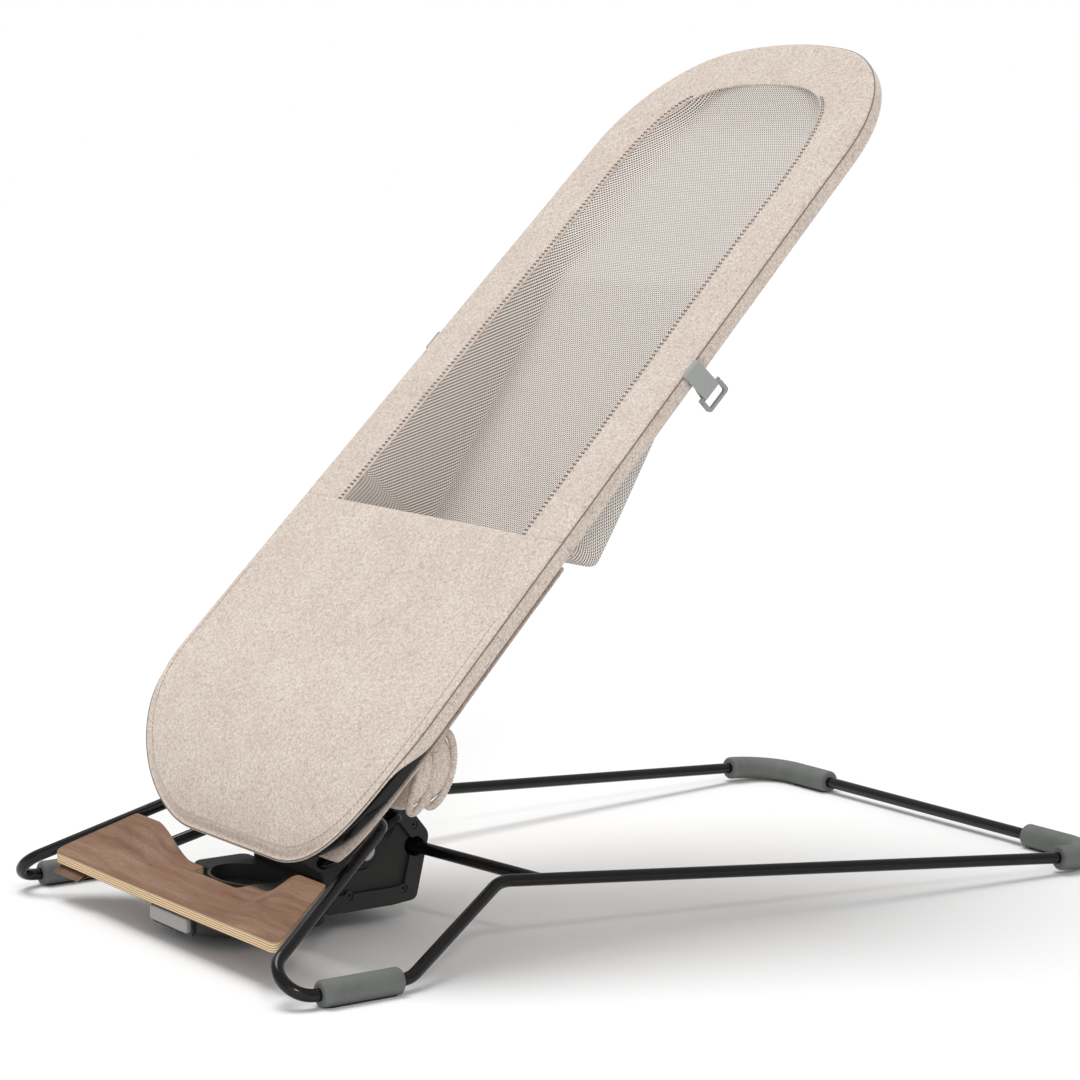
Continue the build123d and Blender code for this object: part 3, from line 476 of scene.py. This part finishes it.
def tan_leather(name):
    """Vegetable-tanned leather with pebble grain."""
    made = material(name, (0.17, 0.078, 0.042), 0.5, Coat_Weight=0.1, Coat_Roughness=0.4)
    where = put(made, "TexCoord").outputs["Object"]
    pebble = put(made, "TexVoronoi", ("Vector", where), Scale=900.0, feature="SMOOTH_F1").outputs["Distance"]
    stain = grain(made, 70, 4.0, 0.6)
    wire(made, ramp(made, stain, (0.3, (0.125, 0.055, 0.030)), (0.7, (0.205, 0.098, 0.055))), "Base Color")
    bump(made, pebble, 0.35, 0.0004)
    return made


def webbing(name, colour):
    """Ribbed woven tape; ribs run along the tape's own UV."""
    made = material(name, colour, 0.8, Sheen_Weight=0.15, Sheen_Roughness=0.4)
    flat = put(made, "UVMap", uv_map="flat").outputs["UV"]
    rib = put(made, "TexWave", ("Vector", flat), Scale=260.0, Distortion=0.4, Detail=1.0,
              bands_direction="Y")
    fuzz = grain(made, 1400, 3.0, 0.7)
    height = mix(made, 0.3, rib.outputs["Fac"], fuzz)
    # Colour follows the rib height: the darker grooves are painted shade and the lighter ridges painted highlight;
    # the fuzz adds random tone.
    low, high = [c * 0.75 for c in colour], [c * 1.15 for c in colour]
    wire(made, ramp(made, height, (0.1, low), (0.8, high)), "Base Color")
    bump(made, height, 0.5, 0.0003)
    return made


def thread(name, colour):
    made = material(name, colour, 0.75, Sheen_Weight=0.2)
    twist = grain(made, 2200, 2.0)
    low, high = [c * 0.8 for c in colour], [c * 1.1 for c in colour]
    wire(made, ramp(made, twist, (0.3, low), (0.7, high)), "Base Color")
    bump(made, twist, 0.4, 0.0002)
    return made


def brushed_steel(name):
    made = material(name, (0.42, 0.42, 0.43), 0.32, Metallic=1.0)
    lines = grain(made, 300, 4.0, 0.7, stretch=(1.0, 12.0, 12.0))
    wire(made, ramp(made, lines, (0.3, 0.26), (0.7, 0.42)), "Roughness")
    bump(made, lines, 0.12, 0.0002)
    return made


LOOKS = {
    "black_tube": powder_coat("black_tube"),
    "steel": brushed_steel("steel"),
    "charcoal_plastic": moulded_plastic("charcoal_plastic", (0.028, 0.0285, 0.0275), 0.5),
    "light_plastic": moulded_plastic("light_plastic", (0.36, 0.355, 0.34), 0.42, strength=0.12),
    "grey_rubber": soft_rubber("grey_rubber", (0.125, 0.133, 0.125)),
    "sole_rubber": soft_rubber("sole_rubber", (0.016, 0.016, 0.016)),
    "walnut_ply": walnut_ply("walnut_ply"),
    "tan_leather": tan_leather("tan_leather"),
    "oat_fabric": heather_fabric("oat_fabric", light=(0.80, 0.705, 0.63), mid=(0.56, 0.465, 0.40),
                                 dark=(0.36, 0.28, 0.215)),
    # The second colour is the painted shade inside the mesh holes.
    "spacer_mesh": spacer_mesh("spacer_mesh", (0.98, 0.91, 0.85), (0.11, 0.088, 0.07)),
    "grey_webbing": webbing("grey_webbing", (0.36, 0.37, 0.36)),
    "grey_plastic": moulded_plastic("grey_plastic", (0.29, 0.30, 0.295), 0.4, strength=0.1),
}
SEAM_THREAD = thread("seam_thread", (0.19, 0.135, 0.10))
PALE_THREAD = thread("pale_thread", (0.56, 0.46, 0.385))
HOLE_THREAD = thread("hole_thread", (0.16, 0.125, 0.10))

# The cover screws are drawn near-black in place of their own slot's look.
DARK_SCREW_LOOK = moulded_plastic("dark_screw_plastic", (0.03, 0.03, 0.03), 0.35)

for part in frame["record"]["subparts"]:
    kept = nodes[part["node"]]
    kept.data.materials.clear()
    dark_screws = part["node"] == "hub_cover_screws"
    kept.data.materials.append(DARK_SCREW_LOOK if dark_screws else LOOKS[part["material_slot"]])


def dress(obj, slot_name, look=None):
    obj.data.materials.clear()
    obj.data.materials.append(look or LOOKS[slot_name])
    return obj


# ---- Woven cover -------------------------------------------------------------------

RIM_STITCH_END_S = 462.0           # needle holes run up the long sides only
UNDULATION = 0.5                  # soft waviness of stretched cloth, millimetres


def cloth_wave(x, s, size=UNDULATION):
    """Gentle unevenness of the cloth, the same on every run."""
    broad = noise.noise(Vector((x / 46, s / 58, 3.7)))
    fine = noise.noise(Vector((x / 17, s / 21, 9.1)))
    return size * broad + 0.4 * size * fine


def edge_row(corner, normal, band=1.0):
    """Points round the edge of the cover at one place, from the face to the hem."""
    row = []
    for inset, depth in EDGE:
        x, s = corner[0] - normal[0] * inset, corner[1] - normal[1] * inset
        row.append(seat(x, s, -curl(corner[1]) - depth * band))
    return row


def mirrored(point):
    return Vector((-point.x, point.y, point.z))


# Turned rim of the opening: distance out from its edge and depth below the face.
RIM = ((5, 3.9), (1.2, 4.0), (0.1, 3.2))


def build_border():
    """Wide frame of cloth round the mesh opening."""
    count = 92
    outer = resample(list(reversed(upper_outline)), count)
    inner = resample(curve_through(OPENING), count)
    outward = [(-n[0], -n[1]) for n in normals(outer)]
    rows, seam, rim = [], [], []
    for corner, normal, edge in zip(outer, outward, inner):
        away = Vector((corner[0] - edge[0], corner[1] - edge[1])).normalized()
        row = [seat(edge[0] + away.x * k, edge[1] + away.y * k, -d) for k, d in RIM]
        start = (edge[0] + away.x * 0.6, edge[1] + away.y * 0.6)
        stop = (corner[0] - normal[0] * 6, corner[1] - normal[1] * 6)
        for f in (0, 0.03, 0.08, 0.16, 0.3, 0.45, 0.6, 0.75, 0.9, 1):
            x, s = start[0] + (stop[0] - start[0]) * f, start[1] + (stop[1] - start[1]) * f
            sag = 2.0 * (1 - f) ** 1.5
            row.append(seat(x, s, -sag + cloth_wave(x, s) * min(1, 4 * f) * (1 - f)))
        row.extend(edge_row(corner, normal))
        rows.append(row)
        x, s = (c - n * SEAM_INSET for c, n in zip(corner, normal))
        seam.append(seat(x, s, -SEAM_DEPTH))
        if edge[1] < RIM_STITCH_END_S:
            rim.append(seat(edge[0] + away.x * 3.0, edge[1] + away.y * 3.0, -1.55))
    full = rows + [[mirrored(p) for p in row] for row in reversed(rows[:-1])]
    obj = grid_object("border_cloth", full, "seat")
    seam += [mirrored(p) for p in reversed(seam[:-1])]
    return obj, seam, rim


def build_front():
    """Lower panel: spokes from the middle line to the edge, so it fans round the foot."""
    count = 64
    edge_points = resample(lower_outline, count)
    outward = normals(edge_points)
    rows, seam, hem = [], [], []
    for i, (corner, normal) in enumerate(zip(edge_points, outward)):
        share = i / (count - 1)
        spine_s = PANEL_TOP_S - 232 * share
        band = 1 - 0.80 * smooth((-168 - corner[1]) / 40)
        row = []
        for f in (0, 0.12, 0.25, 0.38, 0.5, 0.62, 0.73, 0.82, 0.9, 0.96, 1):
            x = (corner[0] - normal[0] * 6) * f
            s = spine_s + (corner[1] - normal[1] * 6 - spine_s) * f
            calm = min(1.0, (PANEL_TOP_S - s) / 40) * (1 - f ** 3)
            fold = 3.2 * noise.noise(Vector((x / 55, s / 90, 1.3))) * smooth((-90 - s) / 120)
            row.append(seat(x, s, -curl(s) + (cloth_wave(x, s) + fold) * calm))
        row.extend(edge_row(corner, normal, band))
        rows.append(row)
        seam.append(seat(corner[0] - normal[0] * SEAM_INSET, corner[1] - normal[1] * SEAM_INSET,
                         -curl(corner[1]) - SEAM_DEPTH * band))
        hem.append(seat(corner[0] - normal[0] * 9, corner[1] - normal[1] * 9,
                        -curl(corner[1] - normal[1] * 9) + 0.1))
    tucks = []
    for lift, depth in ((0.2, 3.2), (1.0, 1.6), (0.7, 0.4)):
        tucks.append([p + UP_FACE * (lift * MM) - OUT_FACE * (depth * MM) for p in rows[0]])
    rows = tucks + rows
    full = [[mirrored(p) for p in reversed(row)] + row[1:] for row in rows]
    obj = grid_object("front_cloth", full, "seat")
    merge_close(obj)
    return obj, seam, hem


REAR_DEPTH, REAR_INSET = 17.6, 2.6
FLAP_INNER, FLAP_SPLIT_S = 94.0, -205.0
FLAP_END_Z = 72.0


def build_rear():
    """Layer behind the hoop, with a flap each side of the hub."""
    def half(side):
        rows = []
        for i in range(52):
            s = 1.0 - 270.0 * i / 51
            wide = half_width(max(s, outline[-2][1] + 2)) - REAR_INSET
            full_row = s > FLAP_SPLIT_S
            inner = [side * FLAP_INNER * k / 8 for k in range(8)]
            outer = [side * (FLAP_INNER + (wide - FLAP_INNER) * k / 7) for k in range(8)]
            hang = 2.2 * smooth((-200 - s) / 60)
            row = []
            for x in inner + outer:
                sway = cloth_wave(x + 300, s, 1.2)
                depth = REAR_DEPTH + curl(s) + hang - min(0.0, sway)
                row.append((seat(x, s, -depth), full_row or abs(x) >= FLAP_INNER - 1))
            if wide > FLAP_INNER + 4 and min(p.z for p, _ in row) / MM > FLAP_END_Z:
                rows.append(row)
        return rows
    points, faces = [], []
    for side in (1, -1):
        rows = half(side)
        base, columns = len(points), len(rows[0])
        points += [p for row in rows for p, _ in row]
        for r in range(len(rows) - 1):
            for c in range(columns - 1):
                if all(rows[a][b][1] for a in (r, r + 1) for b in (c, c + 1)):
                    k = base + r * columns + c
                    faces.append((k, k + 1, k + columns + 1, k + columns))
    used = sorted({v for face in faces for v in face})
    index = {v: i for i, v in enumerate(used)}
    faces = [tuple(index[v] for v in face) for face in faces]
    obj = add_mesh("rear_cloth", [points[v] for v in used], faces, "seat")
    merge_close(obj)
    return obj


border, border_seam, rim_line = build_border()
front, front_seam, hem_line = build_front()
rear = build_rear()
for obj, flat, node in ((border, (0.44, 0.60), "cover_border"), (front, (0.44, 0.32), "cover_front_panel"),
                        (rear, (0.38, 0.27), "cover_rear_panel")):
    dress(obj, "oat_fabric")
    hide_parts(node)
    thicken(obj, CLOTH_T)

# The outline walks clockwise, so both seams join at the panel's top corner.
seam_path = list(reversed(front_seam))[:-1] + border_seam + [mirrored(p) for p in front_seam][1:]
dress(tube("edge_seam", seam_path, 0.45, "seat"), "oat_fabric", SEAM_THREAD)
for number, shift in enumerate((0.0, 2.4)):
    near = [p + Vector((shift * MM, 0, 0)) for p in rim_line]
    for side_name, line in (("right", near), ("left", [mirrored(p) for p in near])):
        row = stitches(f"rim_stitches_{side_name}_{number + 1}", line, [OUT_FACE] * len(line),
                       pitch=3.8, length=1.7, radius=0.42, body="seat")
        dress(row, "oat_fabric", HOLE_THREAD)
foot_hem = [p for p in hem_line if (p - SEAT_ORIGIN).dot(UP_FACE) / MM < -60]
foot_hem = foot_hem + [mirrored(p) for p in reversed(foot_hem[:-1])]
hem = stitches("hem_stitches", foot_hem, [OUT_FACE] * len(foot_hem),
               pitch=4.2, length=3.0, radius=0.32, body="seat")
dress(hem, "oat_fabric", PALE_THREAD)

# ---- Mesh sling ----------------------------------------------------------------------

# Depth of the sling's floor below its rim along the face, as (s, depth).
SLING_FLOOR = ((-20, 89.0), (54, 71.0), (276, 17.0), (470, 11.5), (500, 11.0))
HIP_WALL_SLOPE, HEAD_WALL_SLOPE, LOW_WALL_SLOPE, TOP_WALL_SLOPE = 12.0, 0.9, 2.4, 0.5
SLING_BLEND = 12.0
SLING_RIM_DEPTH = 2.6             # where the sling is sewn, below the face
SLING_TUCK = 4.0                  # how far the sling reaches under the border, millimetres


def soft_min(a, b, blend):
    h = clamp(0.5 + 0.5 * (b - a) / blend)
    return b + (a - b) * h - blend * h * (1 - h)


def sling_depth(gap_side, s, x):
    """Depth of the sling below its rim: straight sides, a deep hip end, a soft back."""
    floor = (a[1] + (b[1] - a[1]) * (s - a[0]) / (b[0] - a[0]) for a, b in zip(SLING_FLOOR, SLING_FLOOR[1:]))
    back = max(floor) + 3.0 * (1 - (x / 120) ** 2)
    steep = HIP_WALL_SLOPE + (HEAD_WALL_SLOPE - HIP_WALL_SLOPE) * smooth((s - 90) / 230)
    side = max(0.0, gap_side - SLING_TUCK + 1.0) * steep
    low = (s - PANEL_TOP_S + 1.5) * LOW_WALL_SLOPE
    top = (478.5 - s) * TOP_WALL_SLOPE
    depth = soft_min(soft_min(back, low, 16.0), soft_min(side, top, 4.0), SLING_BLEND)
    return max(0.0, depth)


def build_sling():
    """Bucket of spacer mesh, sewn to the edge of the opening."""
    edge = resample(curve_through(OPENING), 160)
    sides = [(x - n[0] * SLING_TUCK, s - n[1] * SLING_TUCK) for (x, s), n in zip(edge, normals(edge))]

    def rim_half_width(s):
        for a, b in zip(sides, sides[1:]):
            if a[1] <= s <= b[1]:
                return a[0] + (b[0] - a[0]) * (s - a[1]) / max(1e-9, b[1] - a[1])
        return sides[0][0] if s < sides[0][1] else 0.0

    gaps = (0, 0.4, 0.9, 1.5, 2.2, 3.0, 3.9, 4.9, 6.0, 7.4, 9.2, 11.5, 14.5, 18.5, 24, 31, 40, 52, 66, 84)
    stations = [PANEL_TOP_S - 2 + 10 * k / 7 for k in range(7)]
    stations += [18 + 48 * k / 16 for k in range(16)] + [66 + 386 * k / 70 for k in range(70)]
    stations += [452 + 29.0 * k / 18 for k in range(19)]
    rows = []
    for s in stations:
        wide = rim_half_width(s)
        right = []
        for gap in gaps:
            x = max(0.0, wide - gap * min(1.0, wide / 90))
            depth = sling_depth(wide - x, s, x)
            right.append((x, depth))
        right.append((0.0, sling_depth(wide, s, 0)))
        row = [seat(-x, s, -SLING_RIM_DEPTH - d) for x, d in right]
        row += [seat(x, s, -SLING_RIM_DEPTH - d) for x, d in reversed(right[:-1])]
        rows.append(row)
    return grid_object("sling_mesh", rows, "seat")


sling = build_sling()
merge_close(sling, 0.05 * MM)
dress(sling, "spacer_mesh")
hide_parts("mesh_sling")
thicken(sling, 1.6)

# ---- Stowed harness --------------------------------------------------------------------

roll_low, roll_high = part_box("harness_roll")


FOLD_BOW = 5.0                    # how far a fold bows away from the seat, millimetres


def fold_outline(turn, half_length, half_thick):
    """Bowed, rounded section of a fold, along and across it in millimetres."""
    c, d = math.cos(turn), math.sin(turn)
    u = math.copysign(abs(c) ** 0.85, c) * half_length
    w = math.copysign(abs(d) ** 0.9, d) * half_thick
    return u, w + FOLD_BOW * (0.5 - (u / half_length) ** 2)


def fold_pad(name, centre, along, across, half_length, half_thick, half_width_x):
    """Padded fold with a rounded rim: along and across are directions in the YZ plane."""
    rows = []
    for i in range(15):
        v = math.sin(math.pi * (i / 14 - 0.5))
        end = (1 - abs(v) ** 3.2) ** (1 / 3.2)
        row = []
        for k in range(28):
            u, w = fold_outline(k * math.tau / 28, half_length, half_thick)
            u, w = u * end, w * end
            w += 0.6 * noise.noise(Vector((u / 9, v * 3, w / 9)))
            row.append(centre + along * (u * MM) + across * (w * MM) + Vector((v * half_width_x * MM, 0, 0)))
        rows.append(row)
    obj = grid_object(name, rows, "seat", uv=False, closed=True)
    merge_close(obj)
    return obj


def ribbed_piping(name, centre, along, across, half_length, half_thick, x):
    """Gathered piping round the near edge of a fold: a cord whose ribs are modelled."""
    line = []
    for k in range(PIPING_RIBS * 4):
        u, w = fold_outline(k * math.tau / (PIPING_RIBS * 4), half_length, half_thick)
        line.append(centre + along * (u * MM) + across * (w * MM) + Vector((x * MM, 0, 0)))
    cord = tube(name, line, PIPING_R, "seat", sides=12, closed=True)
    sides = 12
    for number, vertex in enumerate(cord.data.vertices):
        place = number // sides % len(line)
        rib = 1 + 0.13 * math.cos(place * math.pi / 2)
        vertex.co = line[place] + (vertex.co - line[place]) * rib
    merge_close(cord)
    return cord


FOLD_HALF_WIDTH = 33.0
PIPING_RIBS, PIPING_R = 72, 2.8
mid_x = (roll_low.x + roll_high.x) / 2
fold_along = Vector((0, 0.27, 0.96)).normalized()
fold_across = Vector((0, 0.96, -0.27)).normalized()
for number, (y, z, length, thick) in enumerate(((-0.2400, 0.1400, 30.0, 8.5), (-0.2250, 0.1420, 29.0, 9.5))):
    pad = fold_pad(f"harness_fold_{number + 1}", Vector((mid_x, y, z)), fold_along, fold_across,
                   length, thick, FOLD_HALF_WIDTH)
    dress(pad, "oat_fabric")
    cord = ribbed_piping(f"harness_piping_{number + 1}", Vector((mid_x, y, z)), fold_along, fold_across,
                         length - 1.5, thick - 2.0, 29.5)
    dress(cord, "oat_fabric")
    levels = pad.modifiers.new("smooth", "SUBSURF")
    levels.levels = levels.render_levels = 1
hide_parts("harness_roll")

# ---- Side straps -----------------------------------------------------------------------

# Path of the webbing as (distance from the ring's middle, t): down, round the ring's bar, and back.
STRAP_DOWN = ((-6, -1.6), (-2.2, -1.2), (0.1, -2.2), (0.5, -6), (0.6, -13), (0.9, -20))
STRAP_ROUND = ((2.3, 1.5), (2.0, -1.6), (0, -2.7), (-2.0, -1.6), (-2.2, 1.2))
STRAP_BACK = ((-1.2, -20), (-0.6, -14))
STRAP_HALF = 9

for side_name, side in (("right", 1), ("left", -1)):
    strap_rows = []
    for across, t in (*STRAP_DOWN, *((a, RING_T + b) for a, b in STRAP_ROUND), *STRAP_BACK):
        x = RING_X + across
        strap_rows.append([seat(side * x, RING_S + STRAP_HALF * k / 4, t) for k in range(-4, 5)])
    strap = grid_object(f"strap_{side_name}", strap_rows, "seat")
    dress(strap, "grey_webbing")
    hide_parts(f"side_strap_{side_name}")
    thicken(strap, 1.1, offset=0.0)

# ---- Footrest board ----------------------------------------------------------------------

board_low, board_high = (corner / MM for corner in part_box("footrest_panel"))
BOARD_T = 8.0
FRONT_Z = board_low.z + BOARD_T
WING_Z, TROUGH_Z = board_high.z, 44.0
REAR_HALF = 145.0
CUTOUT_HALF, CUTOUT_Y = 34.0, -325.0


def board_top(x, y):
    """Height of the board's top face: flat at the front, wings rising to the rear."""
    share = (y - board_low.y) / (board_high.y - board_low.y)
    half = board_high.x + (REAR_HALF - board_high.x) * share
    rise = smooth((abs(x) / half - 0.38) / 0.38)
    wing = FRONT_Z + 0.5 + (WING_Z - FRONT_Z - 0.5) * share
    trough = FRONT_Z + (TROUGH_Z - FRONT_Z) * share
    return trough + (wing - trough) * rise


def rounded(corners, steps=7):
    """Closed outline with rounded corners; corners are (x, y, radius)."""
    found = []
    for i, (x, y, radius) in enumerate(corners):
        here = Vector((x, y))
        before = Vector(corners[i - 1][:2]) - here
        after = Vector(corners[(i + 1) % len(corners)][:2]) - here
        half_angle = before.angle(after) / 2
        run = radius / math.tan(half_angle)
        first, last = here + before.normalized() * run, here + after.normalized() * run
        for k in range(steps + 1):
            u = k / steps
            found.append(first * (1 - u) ** 2 + here * (2 * u * (1 - u)) + last * u ** 2)
    return found


def board_slab():
    """Closed slab that follows the board's curve, a little larger than the board."""
    xs = [board_low.x - 6 + (board_high.x - board_low.x + 12) * k / 150 for k in range(151)]
    ys = [board_low.y - 6 + (board_high.y - board_low.y + 12) * k / 20 for k in range(21)]
    top = [Vector((x, y, board_top(x, y))) * MM for y in ys for x in xs]
    bottom = [p - Vector((0, 0, BOARD_T * MM)) for p in top]
    count, wide = len(top), len(xs)
    faces = grid_faces(len(ys), wide)
    faces += [tuple(count + v for v in reversed(face)) for face in grid_faces(len(ys), wide)]
    ring = list(range(wide)) + [r * wide + wide - 1 for r in range(1, len(ys))]
    ring += list(range(count - 2, count - wide - 1, -1)) + [r * wide for r in range(len(ys) - 2, 0, -1)]
    for a, b in zip(ring, ring[1:] + ring[:1]):
        faces.append((b, a, count + a, count + b))
    return add_mesh("footrest_board", top + bottom, faces, None)


def board_cutter():
    """Upright prism with the board's outline."""
    front_y, rear_y, front_half = board_low.y, board_high.y, board_high.x
    corners = [(-front_half, front_y, 7), (front_half, front_y, 7), (REAR_HALF, rear_y, 5)]
    corners += [(CUTOUT_HALF + 1, rear_y, 4), (CUTOUT_HALF, CUTOUT_Y, 6), (-CUTOUT_HALF, CUTOUT_Y, 6)]
    corners += [(-CUTOUT_HALF - 1, rear_y, 4), (-REAR_HALF, rear_y, 5)]
    line = rounded(corners)
    points = [Vector((p.x, p.y, z)) * MM for z in (0, 100) for p in line]
    n = len(line)
    faces = [(k, (k + 1) % n, n + (k + 1) % n, n + k) for k in range(n)]
    faces += [tuple(reversed(range(n))), tuple(range(n, 2 * n))]
    return add_mesh("board_cutter", points, faces, None)


def build_board():
    """Bent plywood: the slab cut to its outline, with a ply value through its thickness."""
    slab = board_slab()
    cutter = board_cutter()
    cut = slab.modifiers.new("cut", "BOOLEAN")
    cut.operation, cut.object, cut.solver = "INTERSECT", cutter, "EXACT"
    soften = slab.modifiers.new("soften", "BEVEL")
    soften.width, soften.segments, soften.limit_method = 0.55 * MM, 2, "ANGLE"
    soften.angle_limit = math.radians(50)
    bpy.context.view_layer.update()
    final = bpy.data.meshes.new_from_object(slab.evaluated_get(bpy.context.evaluated_depsgraph_get()))
    slab.modifiers.clear()
    slab.data = final
    bpy.data.objects.remove(cutter)
    layer = final.attributes.new("ply", "FLOAT", "POINT")
    for vertex in final.vertices:
        x, y, z = vertex.co / MM
        layer.data[vertex.index].value = clamp((board_top(x, y) - z) / BOARD_T)
    for polygon in final.polygons:
        polygon.use_smooth = abs(polygon.normal.z) > 0.55
    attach(slab, "base")
    return slab


board = dress(build_board(), "walnut_ply")
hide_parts("footrest_panel")

# ---- Leather tag ----------------------------------------------------------------------------

tag_low, tag_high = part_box("leather_tag")


def build_tag():
    """Folded leather loop: its two leaves meet at a rounded fold."""
    mid = (tag_low + tag_high) / 2
    half_x = (tag_high.x - tag_low.x) / 2 - 0.4 * MM
    slope = Vector((0, tag_high.y - tag_low.y, tag_high.z - tag_low.z)).normalized()
    normal = Vector((1, 0, 0)).cross(slope).normalized()
    reach = (tag_high - tag_low).yz.length / 2 - 0.8 * MM
    rows = []
    for k in range(21):
        u = k / 20
        turn = math.pi * clamp((u - 0.42) / 0.16)
        in_fold = 0.42 < u < 0.58
        along = reach if in_fold else -reach + 2 * reach * (1 - abs(2 * u - 1))
        leaf = 0.95 * MM * math.cos(turn)
        crown = 0.7 * MM * math.sin(math.pi * u)
        row = []
        for j in range(13):
            v = -1 + j / 6
            droop = -0.7 * MM * v * v
            lift = leaf + crown * 0.3 + droop
            row.append(mid + Vector((v * half_x, 0, 0)) + slope * -along + normal * lift)
        rows.append(row)
    obj = grid_object("tag_leather", rows, "base")
    thicken(obj, 1.2, offset=0.0)
    return obj


tag = dress(build_tag(), "tan_leather")
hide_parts("leather_tag")

# ---- Floor, light and camera --------------------------------------------------------------------


WORLD_LIGHT = 0.55
SUNS = (("key", (-0.3, -0.05, 1.0), 1.75, 34), ("glint", (1.0, -0.2, 0.9), 0.3, 6),
        ("fill", (1.0, -0.5, 0.2), 0.45, 60))


def studio():
    floor = add_mesh("floor", [(-14, -14, 0), (14, -14, 0), (14, 14, 0), (-14, 14, 0)], [(0, 1, 2, 3)], None)
    pale = material("pale_floor", (0.93, 0.93, 0.93), 0.9, IOR=1.2)
    mottled = grain(pale, 0.6, 2.0)
    wire(pale, ramp(pale, mottled, (0.3, 0.90), (0.7, 0.92)), "Base Color")
    floor.data.materials.append(pale)
    world = bpy.data.worlds.new("studio")
    world.use_nodes = True
    tree = world.node_tree
    lit = tree.nodes["Background"]
    lit.inputs["Color"].default_value = (1, 1, 1, 1)
    lit.inputs["Strength"].default_value = WORLD_LIGHT
    seen = tree.nodes.new("ShaderNodeBackground")
    seen.inputs["Strength"].default_value = 1.0
    seen.inputs["Color"].default_value = (1, 1, 1, 1)
    either = tree.nodes.new("ShaderNodeMixShader")
    tree.links.new(tree.nodes.new("ShaderNodeLightPath").outputs["Is Camera Ray"], either.inputs["Fac"])
    tree.links.new(lit.outputs["Background"], either.inputs[1])
    tree.links.new(seen.outputs["Background"], either.inputs[2])
    tree.links.new(either.outputs["Shader"], tree.nodes["World Output"].inputs["Surface"])
    bpy.context.scene.world = world
    for name, way, power, spread in SUNS:
        data = bpy.data.lights.new(name, "SUN")
        data.energy, data.angle = power, math.radians(spread)
        lamp = bpy.data.objects.new(name, data)
        bpy.context.scene.collection.objects.link(lamp)
        lamp.rotation_euler = (-Vector(way)).to_track_quat("-Z", "Y").to_euler()


def camera():
    data = bpy.data.cameras.new("view")
    data.lens, data.sensor_width = 110.6, 36
    data.clip_end = 60
    obj = bpy.data.objects.new("view", data)
    bpy.context.scene.collection.objects.link(obj)
    obj.location = (2.1454, -1.5088, 0.6344)
    obj.rotation_euler = (math.radians(82.2), 0, math.radians(55.38))
    bpy.context.scene.camera = obj


studio()
camera()
bpy.context.scene.view_settings.view_transform = "Standard"
